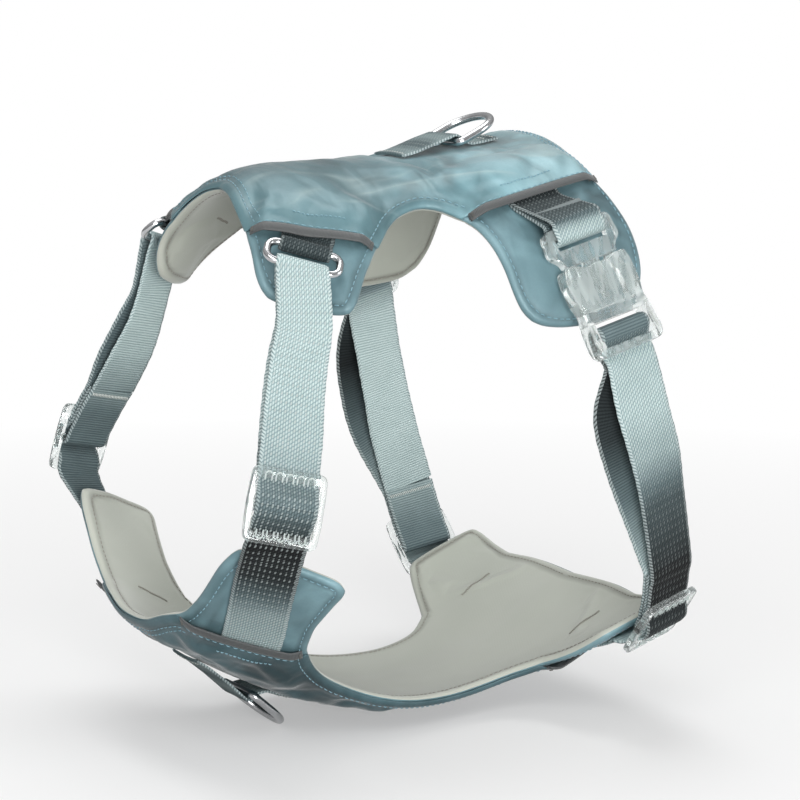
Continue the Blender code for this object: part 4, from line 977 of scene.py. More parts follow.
class Threads:
    """Collects stitches, each a small curved capsule sunk at both ends, into one mesh. Given a
    surface tree, each is seated on it."""

    def __init__(self, onto=None):
        self.verts, self.faces, self.onto = [], [], onto

    def seat(self, point, normal):
        if self.onto is None:
            return point
        start = Vector(place(point + normal * 4.0))
        hit = self.onto.ray_cast(start, Vector(-normal), 0.009)[0]
        return point if hit is None else np.array(hit) / MM + ORIGIN

    def stitch(self, start, end, normal, radius, rise):
        normal = unit(normal)
        start = self.seat(np.asarray(start, float), normal)
        end = self.seat(np.asarray(end, float), normal)
        across = np.cross(normal, unit(end - start))
        first = len(self.verts)
        # (share of length, height, share of radius) of each ring
        for share, height, size in ((0.0, -0.25, 0.35), (0.12, 0.10, 0.85), (0.5, rise, 1.0),
                                    (0.88, 0.10, 0.85), (1.0, -0.25, 0.35)):
            centre = start + (end - start) * share + normal * height
            for k in range(6):
                angle = math.pi / 3 * k
                spoke = across * math.cos(angle) + normal * math.sin(angle)
                self.verts.append(centre + spoke * radius * size)
        self.faces += [[first + i for i in face] for face in STITCH_FACES]

    def along(self, points, normals, length, gap, radius, rise):
        run = run_lengths(points)
        at = 0.0
        while at + length < run[-1]:
            start, end = at_lengths(at, run, points), at_lengths(at + length, run, points)
            self.stitch(start, end, at_lengths(at + length / 2, run, normals), radius, rise)
            at += length + gap

    def sew(self, surface, line, height, style, face=1):
        """A row along a flat line, on the outer side or, with face -1, the inner."""
        self.along(surface.off(line, height), face * surface.normal(line), **style)

    def zigzag(self, start, end, normal, half, pitch, radius):
        """A bartack: close zigzag stitches."""
        start, end = np.asarray(start, float), np.asarray(end, float)
        across = np.cross(unit(normal), unit(end - start))
        count = max(2, int(np.linalg.norm(end - start) / pitch))
        for k in range(count):
            near = start + (end - start) * (k / count)
            far = start + (end - start) * ((k + 0.6) / count)
            self.stitch(near + across * half, far - across * half, normal, radius, 0.35)

    def done(self, name, mat, slot, body="harness"):
        register(make(name, place(np.array(self.verts)), self.faces, [mat]), body, slot)


LINING_ROW = dict(length=1.9, gap=0.5, radius=0.24, rise=0.14)
SATIN_ROW = dict(length=2.1, gap=0.9, radius=0.25, rise=0.22)
TAPE_ROW = dict(length=2.1, gap=0.9, radius=0.22, rise=0.2)
MOUTH_ROW = dict(length=1.5, gap=0.35, radius=0.26, rise=0.3)
STRIP_ROW = dict(length=1.5, gap=0.5, radius=0.2, rise=0.22)
EDGE_INSET = 3.9                # stitches in from a pad's edge
HEM_INSET, HEM_SECOND = 4.1, 6.6
# tape cross-section: (out from the mouth's edge, height above the shell's middle)
TAPE_SECTION = np.array([
    (-0.5, 0.46), (0.3, 0.62), (1.3, 0.66), (2.3, 0.56), (3.1, 0.28), (3.35, -0.10),
    (3.1, -0.42), (2.3, -0.58), (1.3, -0.62), (0.4, -0.56), (-0.3, -0.50), (-0.5, 0.0)])
# bartacks on the linings: start and end as flat points of the right half
LINING_TACKS = {"back": [((-36, 46), (-27, 55)), ((52, 52), (66, 52))],
                "chest": [((-76, 46), (-61, 48)), ((98, 44), (114, 44))]}


def left_normals(path):
    way = unit(np.gradient(path, axis=0))
    return np.stack([-way[:, 1], way[:, 0]], -1)


def inset(path, full, dist):
    """A flat line moved in to the right of its direction, without points too near the outline."""
    line = path - left_normals(path) * dist
    return line[distance(line, full[:-1], full[1:]) > dist - 0.25]


def sew_edges(name, panel):
    surface, outline = panel.surface, panel.outline
    front_tab, rear_tab = outline["front_tab"], outline["rear_tab"]
    edge_of = lambda key, count=60: resample(outline[key], count)

    def tab_edge(tab):
        left, top, right = (resample(tab[key], 60) for key in ("left", "top", "right"))
        return np.vstack([left, top[1:], right[::-1][1:]])

    # the right half, from the front centre round to the rear centre
    half = np.vstack([edge_of("front"), tab_edge(front_tab)[1:], edge_of("waist", 90)[1:],
                      tab_edge(rear_tab)[1:], edge_of("rear")[::-1][1:]])
    full = np.vstack([half, (half * [1, -1])[::-1]])
    lining, pocket = Threads(panel.pad.tree), Threads(panel.pad.tree)
    cover = Threads(panel.shell.tree)
    edge_line = inset(half, full, EDGE_INSET)
    tab_lines = [inset(tab_edge(tab), full, EDGE_INSET) for tab in (front_tab, rear_tab)]
    for side in (1, -1):
        lining.sew(surface, edge_line * [1, side], -PAD_HALF + 0.72, LINING_ROW, face=-1)
        for line in tab_lines:
            pocket.sew(surface, line * [1, side], PAD_HALF - 0.62, SATIN_ROW)
        # sewn edges of the shell, with two rows at the front and rear
        for key, insets in (("front", (HEM_INSET, HEM_SECOND)), ("waist", (HEM_INSET,)),
                            ("rear", (HEM_INSET, HEM_SECOND))):
            for dist in insets:
                edge = edge_of(key, 90)
                line = inset(edge[::-1] if key == "rear" else edge, full, dist)
                sink = 0.50 if dist == HEM_INSET else 0.05
                height = lift_height(panel, line) + 0.4 - sink
                cover.sew(surface, line * [1, side], height, SATIN_ROW)
    lining.done(f"{name}_lining_stitches", T_LINING, "lining")
    pocket.done(f"{name}_pocket_stitches", T_BLUE, "satin")
    cover.done(f"{name}_shell_stitches", T_BLUE, "satin")


def bind_mouth(name, panel, where, mouth_threads, tacks):
    """Tape folded over both mouths at one end of the panel, with its stitching."""
    surface = panel.surface
    mouth = resample(panel.outline[f"mouth_{where}"], 60)
    # the tape stops short of the hems
    run = run_lengths(mouth)
    mouth = at_lengths(np.linspace(2.2, run[-1] - 2.2, 60), run, mouth)
    run = run_lengths(mouth)
    out = left_normals(mouth)
    height = lift_height(panel, mouth)
    around = len(TAPE_SECTION)
    sink = 0.5 * (1 - smooth(np.minimum(run, run[-1] - run) / 3.0))
    flat = mouth[:, None] + out[:, None] * TAPE_SECTION[None, :, :1]
    level = height[:, None] + TAPE_SECTION[None, :, 1] - sink[:, None]
    uv = np.stack(np.broadcast_arrays(TAPE_SECTION.sum(1)[None], run[:, None]), -1)
    last = (len(mouth) - 1) * around
    caps = [list(range(around)), [last + k for k in range(around - 1, -1, -1)]]
    for side, hand in ((1, "right"), (-1, "left")):
        verts = surface.off(flat * [1, side], level).reshape(-1, 3)
        ob = make(f"{name}_{where}_tape_{hand}_piece", place(verts),
                  side_faces(len(mouth), around) + caps, [M_TAPE])
        uv_from_points(ob, uv.reshape(-1, 2))
        register(ob, "harness", "tape", f"{name}_{where}_tape_{hand}")
        # two bartacks at each end of the tape, at the height of the outer one
        for i, outer in ((1, 1), (4, 1), (-2, -2), (-5, -2)):
            low = (mouth[i] + out[i] * 0.2) * [1, side]
            high = (mouth[i] + out[i] * 2.8) * [1, side]
            tacks.zigzag(surface.off(low, height[outer] + 0.55),
                         surface.off(high, height[outer] + 0.45),
                         surface.normal(low), half=0.5, pitch=0.6, radius=0.2)
        row = (mouth - out * 1.0)[3:-3]
        mouth_threads.sew(surface, row * [1, side], height[3:-3] + 0.42, TAPE_ROW)
        # the line sewn through the webbing in the pocket
        first, end = (18, 46) if where == "front" else (16, 42)
        row = (mouth - out * 6.0)[first:end]
        mouth_threads.sew(surface, row * [1, side], lift_height(panel, row) + 0.42, MOUTH_ROW)


def tack_lining(name, panel):
    """Bartacks on the lining over the hidden ends of the webbing, a little wandering."""
    surface = panel.surface
    threads = Threads(panel.pad.tree)
    for start, end in LINING_TACKS[name]:
        start, end = np.array(start, float), np.array(end, float)
        for side in (1, -1):
            walk = [start + (end - start) * k / 7 + [0, 0.22 * math.sin(k * 1.7 + start[0])]
                    for k in range(8)]
            for near, far in zip(walk, walk[1:]):
                near, far = near * [1, side], far * [1, side]
                threads.zigzag(surface.off(near, -2.6), surface.off(far, -2.6),
                               -surface.normal((near + far) / 2),
                               half=0.62, pitch=0.75, radius=0.26)
    threads.done(f"{name}_lining_bartacks", T_LINING, "lining")


bpy.context.view_layer.update()
graph = bpy.context.evaluated_depsgraph_get()
for skin in skins:
    skin.tree = BVHTree.FromObject(skin.ob, graph)
tape_tacks, strip_threads = Threads(), Threads()
for name, panel in PANELS.items():
    sew_edges(name, panel)
    mouth_threads = Threads(panel.shell.tree)
    for where in ("front", "rear"):
        bind_mouth(name, panel, where, mouth_threads, tape_tacks)
    mouth_threads.done(f"{name}_mouth_stitches", T_BLUE, "satin")
for name, panel in PANELS.items():
    tack_lining(name, panel)


# ================================================================ webbing

ROW_STEP = 1.25
Rows = namedtuple("Rows", "centres across widths tones run")


def rows_at(rows, run):
    return Rows(at_lengths(run, rows.run, rows.centres),
                unit(at_lengths(run, rows.run, rows.across)),
                np.interp(run, rows.run, rows.widths), np.interp(run, rows.run, rows.tones), run)


def strip(side, points, across, width, tones, step=2.0, spacing=ROW_STEP):
    """Evenly spaced rows along a curved path given for the right side."""
    points, across = mirror(points, side), mirror(across, side)
    width = np.broadcast_to(np.asarray(width, float), (len(points),))
    t = [0.0]
    for k in range(len(points) - 1):
        count = max(1, int(round(np.linalg.norm(points[k + 1] - points[k]) / step)))
        t += [k + (i + 1) / count for i in range(count)]
    t = np.array(t)
    k = np.arange(len(points))
    centres = catmull(points, t)
    cross = at_lengths(t, k, across)
    way = unit(np.gradient(centres, axis=0))
    cross = unit(cross - way * (cross * way).sum(1, keepdims=True))
    run = run_lengths(centres)
    rows = Rows(centres, cross, np.interp(t, k, width), np.interp(t, k, tones), run)
    return rows_at(rows, np.linspace(0, run[-1], max(2, int(round(run[-1] / spacing))) + 1))


def woven(name, rows, inner_up=False, dots=0.0, selvedge=1.0, bend=None, ribs_to=0.0,
          inner_tone=None):
    """A strip with rounded selvedges. bend gives a shift by row and share of the half width;
    both faces are ribbed up to ribs_to; inner_tone is (lengths, tones) of the inner face."""
    cols = 10
    normals = unit(np.cross(unit(np.gradient(rows.centres, axis=0)), rows.across))
    shares = np.linspace(-1, 1, cols + 1)
    shares = np.sign(shares) * (1 - (1 - np.abs(shares)) ** 1.25)
    thick = WEB_T / 2 * np.clip(
        0.42 + 0.58 * np.sqrt(np.clip(1 - np.abs(shares) ** 14, 0, 1)), 0, 1)
    verts, uv, inner, tones = [], [], [], []
    for i, run in enumerate(rows.run):
        wobble = 0.10 * math.sin(run * math.pi / 1.5 * 0.5) + 0.06 * math.sin(run * 0.23)
        for order, face in ((1, 1), (-1, -1)):
            is_inner = (face < 0) != inner_up
            tone = rows.tones[i]
            if is_inner and inner_tone is not None:
                tone = float(np.interp(run, *inner_tone))
            for share, half in zip(shares[::order], thick[::order]):
                out = rows.widths[i] / 2 * share
                if abs(share) > 0.97:
                    out += wobble * np.sign(share)
                point = rows.centres[i] + rows.across[i] * out + normals[i] * half * face
                verts.append(point if bend is None else point + bend(i, share))
                uv.append((out * (WEB_W / rows.widths[i]), run))
                inner.append(1.0 if is_inner or run < ribs_to else 0.0)
                tones.append(tone)
    around = 2 * (cols + 1)
    last = (len(rows.run) - 1) * around
    faces = side_faces(len(rows.run), around)
    faces += [list(range(around - 1, -1, -1)), [last + k for k in range(around)]]
    ob = make(name, place(np.array(verts)), faces, [M_WEB])
    uv_from_points(ob, uv)
    caps = {tuple(sorted(e)) for p in list(ob.data.polygons)[-2:] for e in p.edge_keys}
    sharp = ob.data.attributes.new("sharp_edge", "BOOLEAN", "EDGE")
    sharp.data.foreach_set(
        "value", np.array([tuple(sorted(e.vertices)) in caps for e in ob.data.edges], bool))
    point_attribute(ob, "inner", inner)
    point_attribute(ob, "tone", tones)
    point_attribute(ob, "dots", np.full(len(verts), float(dots)))
    point_attribute(ob, "selvedge", np.full(len(verts), float(selvedge)))
    return ob


def nearest(rows, point, start, end):
    """Running length of the row nearest to a point, between two lengths."""
    gap = np.linalg.norm(rows.centres - np.asarray(point, float), axis=1)
    gap = np.where((rows.run < start) | (rows.run > end), 1e9, gap)
    return float(rows.run[int(np.argmin(gap))])


def cut_strap(name, side, rows, cuts, pieces, **look):
    """Cuts a strap at running lengths into pieces of (part, first body, second body, start, end), each
    made as a strip in place, and hides the whole strap's part."""
    marks = [rows.run[0], *cuts, rows.run[-1]]
    for (part, first, second, start, end), low, high in zip(pieces, marks, marks[1:]):
        count = max(2, int(round((high - low) / ROW_STEP)))
        piece = rows_at(rows, np.linspace(low, high, count + 1))
        ob = woven(f"{name}_{part}", piece, inner_up=side > 0, **look)
        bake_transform(ob)
    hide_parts(name)


def laid(surface, path, across, height):
    """Centre points and cross directions of a strip lying on a panel."""
    path, across = np.asarray(path, float), unit(across)
    left, mid, right = (surface.off(path + across * k, height) for k in (-12.0, 0.0, 12.0))
    return list((left + 2 * mid + right) / 4), list(unit(right - left))


def bartack(name, side, centre, across, normal, reach, lift, zigzag, mat, body):
    """A bartack across a strap, reach to each side of its centre."""
    threads = Threads()
    centre = centre + normal * (WEB_T / 2 + lift)
    threads.zigzag(mirror(centre - across * reach, side), mirror(centre + across * reach, side),
                   mirror(normal, side), **zigzag)
    threads.done(name, mat, "webbing", body)


# ================================================================ moulded pieces and wire

def wire_loop(name, corners, radius, sides):
    """A closed round wire through points, with rings about 0.9 mm apart."""
    loop = np.vstack([corners, corners[:1]])
    run = run_lengths(loop)
    points = at_lengths(np.linspace(0, run[-1], int(run[-1] / 0.9) + 1)[:-1], run, loop)
    count = len(points)
    way = unit(np.roll(points, -1, 0) - np.roll(points, 1, 0))
    plane = unit(np.cross(points[1] - points[0], points[count // 2] - points[0]))
    verts = []
    for i in range(count):
        first = unit(plane - way[i] * (plane @ way[i]))
        second = np.cross(way[i], first)
        for k in range(sides):
            angle = 2 * math.pi * k / sides
            spoke = first * math.cos(angle) + second * math.sin(angle)
            verts.append(points[i] + spoke * radius)
    return make(name, place(np.array(verts)), side_faces(count, sides, looped=True), [M_CHROME])


def both_sides(half, between=()):
    """An outline of (x, y, corner radius) from its right half; between joins the first pair."""
    left = [(-x, y, radius) for x, y, radius in half]
    return [left[0], *between, *half, *left[:0:-1]]


def rounded(outline, count):
    """An outline of (x, y, corner radius) with its corners rounded in count steps."""
    out = []
    corners = [np.array(row[:2], float) for row in outline]
    for k, corner in enumerate(corners):
        radius = outline[k][2]
        if radius <= 0:
            out.append(corner)
            continue
        before = unit(corners[k - 1] - corner)
        after = unit(corners[(k + 1) % len(corners)] - corner)
        for t in np.linspace(0, 1, count + 1):
            out.append(corner + before * radius * (1 - t) ** 2 + after * radius * t ** 2)
    return out


def prism(name, points, bottom, top):
    """A flat outline extruded in local z."""
    count = len(points)
    verts = [(p[0] * MM, p[1] * MM, z * MM) for z in (bottom, top) for p in points]
    faces = [list(range(count - 1, -1, -1)), list(range(count, 2 * count))]
    faces += [[k, (k + 1) % count, count + (k + 1) % count, count + k] for k in range(count)]
    return make(name, verts, faces, [], smooth_shade=False)


def boxes(*corners):
    """A cutter of one or more boxes, each from its low and high corners."""
    verts, faces = [], []
    for low, high in corners:
        first = len(verts)
        for z in (low[2], high[2]):
            verts += [(x * MM, y * MM, z * MM) for x, y in (
                (low[0], low[1]), (high[0], low[1]), (high[0], high[1]), (low[0], high[1]))]
        faces += [[first + i for i in face] for face in (
            (3, 2, 1, 0), (4, 5, 6, 7), (0, 1, 5, 4), (1, 2, 6, 5), (2, 3, 7, 6), (3, 0, 4, 7))]
    return make("cutter", verts, faces, [], smooth_shade=False)


def carve(ob, bevel, segments, cuts=(), joins=(), soften=0.0):
    """Bevels, cuts and joins a moulded piece, and softens the new edges."""
    edge = ob.modifiers.new("edge", "BEVEL")
    edge.width, edge.segments = bevel * MM, segments
    edge.limit_method, edge.angle_limit = "ANGLE", math.radians(40)
    for operation, tools in (("DIFFERENCE", cuts), ("UNION", joins)):
        for tool in tools:
            boolean = ob.modifiers.new("boolean", "BOOLEAN")
            boolean.operation, boolean.object, boolean.solver = operation, tool, "EXACT"
    if soften:
        soft = ob.modifiers.new("soft", "BEVEL")
        soft.width, soft.segments = soften * MM, 2
        soft.limit_method, soft.angle_limit = "ANGLE", math.radians(42)
        soft.use_clamp_overlap = True
    graph = bpy.context.evaluated_depsgraph_get()
    mesh = bpy.data.meshes.new_from_object(ob.evaluated_get(graph))
    ob.modifiers.clear()
    ob.data = mesh
    for tool in (*cuts, *joins):
        bpy.data.objects.remove(tool, do_unlink=True)


def local_matrix(centre, axes, side):
    matrix = Matrix.Identity(4)
    for k, axis in enumerate(axes):
        for row, value in enumerate(mirror(axis, side)):
            matrix[row][k] = value
    for row, value in enumerate(place(mirror(centre, side))):
        matrix[row][3] = value
    return matrix


def set_in_place(ob, matrix, mat, angle=32):
    """Moves a local mesh into the frame, turns a mirrored one right way out, and shades it."""
    mesh = ob.data
    mesh.transform(matrix)
    if matrix.determinant() < 0:
        mesh.flip_normals()
    mesh.materials.clear()
    mesh.materials.append(mat)
    mesh.polygons.foreach_set("material_index", np.zeros(len(mesh.polygons), np.int32))
    mesh.shade_smooth()
    mesh.set_sharp_from_angle(angle=math.radians(angle))


# ================================================================ leash rings

def d_ring(name, bar, direction):
    """A D ring standing from the middle of its straight bar."""
    half, corner = DRING_W / 2, 2.2
    rise = DRING_H - half
    bends = [(corner * math.sin(t), corner - corner * math.cos(t))
             for t in np.radians((0, 22, 45, 68, 90))]
    outline = [(-half + corner, 0), (half - corner, 0)]
    outline += [(half - corner + x, y) for x, y in bends[1:]]
    outline += [(half * math.cos(t), rise + half * math.sin(t))
                for t in np.radians(np.linspace(0, 180, 40))]
    outline += [(-half + corner - corner * math.cos(t), corner - corner * math.sin(t))
                for t in np.radians((0, 22, 45, 68))]
    along, out = np.array([0, 1.0, 0]), unit(direction)
    corners = [np.array(bar) + along * x + out * y for x, y in outline]
    ob = wire_loop(f"{name}_leash_ring_wire", corners, DRING_WIRE / 2, 18)
    register(ob, f"{name}_ring", "chrome", f"{name}_leash_ring")


def ring_strip(name, surface, bar, front, turn, rear):
    """Webbing over a D ring's bar. front is (x, lift) stations, turn the angles round the bar in
    degrees, and rear the x stations behind it."""
    level = SHEET_MID + FABRIC_T + GAP + FABRIC_T / 2 + GAP + WEB_T / 2
    shares = np.linspace(-1, 1, 11)
    arcs = shares * STRIP_W / 2
    line_at = lambda x, arcs: np.stack([np.full(len(arcs), float(x)), arcs], -1)
    lines = [surface.off(line_at(x, arcs), level + lift) for x, lift in front]
    radius = DRING_WIRE / 2 + GAP + WEB_T / 2 + 0.3
    lines += [point + np.outer(arcs, (0, 1.0, 0))
              for point in arc_points(bar, (1, 0, 0), (0, 0, 1), radius, *turn, 8)]
    lines += [surface.off(line_at(x, arcs), level + 0.05) for x in rear]
    lines = np.array(lines)
    length = run_lengths(lines[:, 5])
    run = np.linspace(0, length[-1], int(length[-1] / 1.2) + 1)
    grid = np.stack([at_lengths(run, length, lines[:, j]) for j in range(11)], 1)
    centres, across = grid[:, 5], unit(grid[:, -1] - grid[:, 0])

    def bend(i, share):
        """From the straight cross line to the curved one."""
        return at_lengths(share, shares, grid[i]) - (centres[i] + across[i] * (STRIP_W / 2 * share))

    rows = Rows(centres, across, np.full(len(run), STRIP_W), 0.50 + 0.12 * np.sin(run * 0.35), run)
    ob = woven(f"{name}_ring_strip", rows, dots=0.7, bend=bend)
    register(ob, "harness", "webbing_dark", f"{name}_ring_webbing")
    arcs = np.linspace(-9.5, 9.5, 20)
    for x in (front[0][0] + 1.5, front[1][0] + 1.0, rear[-2] + 1.0, rear[-1] - 1.5):
        strip_threads.sew(surface, line_at(x, arcs), level + WEB_T / 2 + 0.05, STRIP_ROW)


BACK_BAR, CHEST_BAR = (55.5, 0.0, 115.2), (-47.0, 0.0, -115.6)
d_ring("back", BACK_BAR, (25.0, 0.0, 11.8))
d_ring("chest", CHEST_BAR, (18.0, 0.0, -16.0))
ring_strip("back", BACK, BACK_BAR, ((28, 0.05), (33, 0.4), (38, 1.4), (43, 2.5), (48, 3.6)),
           (104, 8), (64, 70, 77))
ring_strip("chest", CHEST, CHEST_BAR, ((-71, 0.05), (-66, 0.3), (-61, 1.2), (-56, 2.2)),
           (-110, -8), (-38, -32, -26))


# ================================================================ sliders

# centre, direction along the strap, direction across it
NECK_SLIDER = (np.array([-76.0, 92.0, -18.0]), (-0.25, 0.10, -0.96), (0.943, 0.301, -0.149))
GIRTH_SLIDER = (np.array([107.0, 93.0, -85.0]), (0.05, -0.66, -0.75), (0.97, -0.17, 0.20))


def slider_path(spec, rise, fall):
    """The strand through a slider, the sewn end folded round its middle bar, and the slider's
    across axis and normal. rise and fall set the slopes above and below it."""
    centre, along, wide = spec
    across, axis, out = frame_axes(along, wide)
    low = -(SLIDER_T / 2 + GAP + WEB_T / 2 + 0.1)
    fold = 1.95 + WEB_T / 2
    high = -0.6 + fold + WEB_T / 2 + GAP + WEB_T / 2 + 0.1
    above = lambda up, drop: (-up, low - drop - rise * (up - 12.8))
    strand = [above(27.5, 0), above(22, 0), above(16.5, 0), (-12.8, low), (-10.2, low + 0.15),
              (-7.6, low + 1.6), (-4, high - 1.2), (0, high), (4, high - 1.2), (7.6, low + 1.6),
              (10.2, low + 0.15), (12.8, low), (16.5, low - fall * 3.7)]
    inner = [above(25.5, 4.3), above(21, 3.9), above(16.5, 3.7), (-12.0, low - 3.55),
             (-8, -5.0), (-4, -3.8)]
    turn = [(fold * math.sin(t), -0.6 - fold * math.cos(t))
            for t in np.radians(np.linspace(0, 180, 9))]
    outer = [(-4.2, 0.2), (-7.8, -3.0), (-11.5, low - 1.75), above(16.5, 1.9), above(21, 2.1),
             above(25.5, 2.5)]
    laid_out = lambda profile: [centre + axis * x + out * y for x, y in profile]
    return laid_out(strand), laid_out(inner + turn + outer), across, out


def slider(name, side, spec, body):
    """A slider with two windows, a lowered middle bar, and notches and ribs on its end bars."""
    centre, along, wide = spec
    matrix = local_matrix(centre, frame_axes(along, wide), side)
    half_w, half_l, half_t = SLIDER_W / 2, SLIDER_L / 2, SLIDER_T / 2
    outline = both_sides([(half_w - 0.5, -half_l, 3.4), (half_w, -half_l * 0.35, 2),
                          (half_w, half_l * 0.35, 2), (half_w - 0.7, half_l, 3.4)])
    ob = prism(name + "_piece", rounded(outline, 6), -half_t, half_t)
    inner = half_w - 2.9
    windows = boxes(((-inner, -10.4, -5), (inner, -1.4, 5)), ((-inner, 1.4, -5), (inner, 10.4, 5)))
    low_bar = boxes(((-inner + 0.01, -2.6, 0.2), (inner - 0.01, 2.6, 5)))
    notch_xs = [k * 4.3 for k in (-2, -1, 0, 1, 2)]
    notches = boxes(*[((x - 1.05, y, 0.35), (x + 1.05, y + 3.6, 5))
                      for x in notch_xs for y in (9.4, -13.0)])
    carve(ob, 0.75, 3, cuts=(windows, low_bar, notches), soften=0.22)
    threads = Threads()
    for y, way in ((11.9, -1.0), (-11.9, 1.0)):
        for x in notch_xs:
            # an arch round the notch
            arch = [np.array([x + out, y + way * step, half_t]) for out, step in (
                (-1.35, 2.4), (-1.35, -0.5), (0, -1.5), (1.35, -0.5), (1.35, 2.4))]
            for start, end in zip(arch, arch[1:]):
                threads.stitch(start, end, (0, 0, 1), radius=0.36, rise=0.02)
    ribs = make(name + "_piece_ribs", np.array(threads.verts) * MM, threads.faces, [M_FROST])
    set_in_place(ribs, matrix, M_FROST, 50)
    register(ribs, body, "clear")
    set_in_place(ob, matrix, M_CLEAR)
    register(ob, body, "clear", name)


def adjuster(kind, side, hand, spec, fold, across, out, tones):
    """The strap's sewn end round the slider's bar, the slider, and the bartack."""
    body = f"{kind}_adjuster_{hand}"
    rows = strip(side, fold, [across] * len(fold), WEB_W - 0.2, tones)
    end = woven(f"{kind}_strap_end_{hand}_piece", rows, inner_up=side > 0, dots=0.2)
    register(end, body, "webbing", f"{kind}_strap_end_{hand}")
    slider(f"{kind}_adjuster_{hand}", side, spec, body)
    bartack(f"{kind}_bartack_{hand}", side, fold[0] * 0.35 + fold[1] * 0.65, across, -out,
            reach=11, lift=0.05, zigzag=dict(half=0.9, pitch=0.9, radius=0.24),
            mat=T_PALE, body=body)


# ================================================================ neck ring and strap

NECK_TOP = np.array([-45.5, 55.5, 78.0])        # middle of the ring's upper bar
NECK_ACROSS = unit((0.855, 0.443, -0.27))
NECK_DOWN = np.array([-0.12, 0.72, -0.68])
NECK_DOWN = unit(NECK_DOWN - NECK_ACROSS * (NECK_DOWN @ NECK_ACROSS))
NECK_BEND = RING_WIRE / 2 + GAP + WEB_T / 2 + 0.05      # webbing's radius round the ring's wire


def neck_ring(side, hand):
    """An oval ring."""
    half, corner = RING_L / 2, 4.0
    loop = []
    for x, y, start in ((half, corner, -90), (half, RING_SPAN - corner, 0),
                        (-half, RING_SPAN - corner, 90), (-half, corner, 180)):
        for angle in np.radians(np.linspace(start, start + 90, 12)):
            loop.append(NECK_TOP + NECK_ACROSS * (x + corner * math.cos(angle))
                        + NECK_DOWN * (y + corner * math.sin(angle)))
    ring = wire_loop(f"neck_ring_wire_{hand}", mirror(loop, side), RING_WIRE / 2, 16)
    register(ring, f"neck_ring_{hand}", "chrome", f"neck_ring_{hand}")


def neck_loop(side, hand):
    """A dark loop from the front pocket round the ring's upper bar."""
    legs = np.array([(-35.7, 48.9), (-38.6, 52.8), (-41.3, 56.4)])
    leg_in = BACK.off(legs, [UPPER_LEG, UPPER_LEG, UPPER_LEG + 0.15])
    leg_out = BACK.off(legs[::-1], [LOWER_LEG + 0.1, LOWER_LEG, LOWER_LEG])
    across = unit(BACK.point(-28.0, 60.0) - BACK.point(-48.0, 45.0))
    away = unit(NECK_TOP - leg_in[1])
    away = unit(away - NECK_ACROSS * (away @ NECK_ACROSS))
    up = np.cross(NECK_ACROSS, away)
    up = up if up[1] + up[2] > 0 else -up
    turn = arc_points(NECK_TOP, away, up, NECK_BEND, 110, -100, 10)
    path = np.vstack([leg_in, turn, leg_out])
    rows = strip(side, path, [across] * 3 + [NECK_ACROSS] * len(turn) + [across] * 3,
                 LOOP_W, [0.12] * len(path), step=1.5, spacing=1.0)
    ob = woven(f"neck_loop_{hand}", rows, inner_up=side > 0, dots=0.15, selvedge=0.55)
    register(ob, "harness", "webbing_dark", f"neck_ring_loop_{hand}")


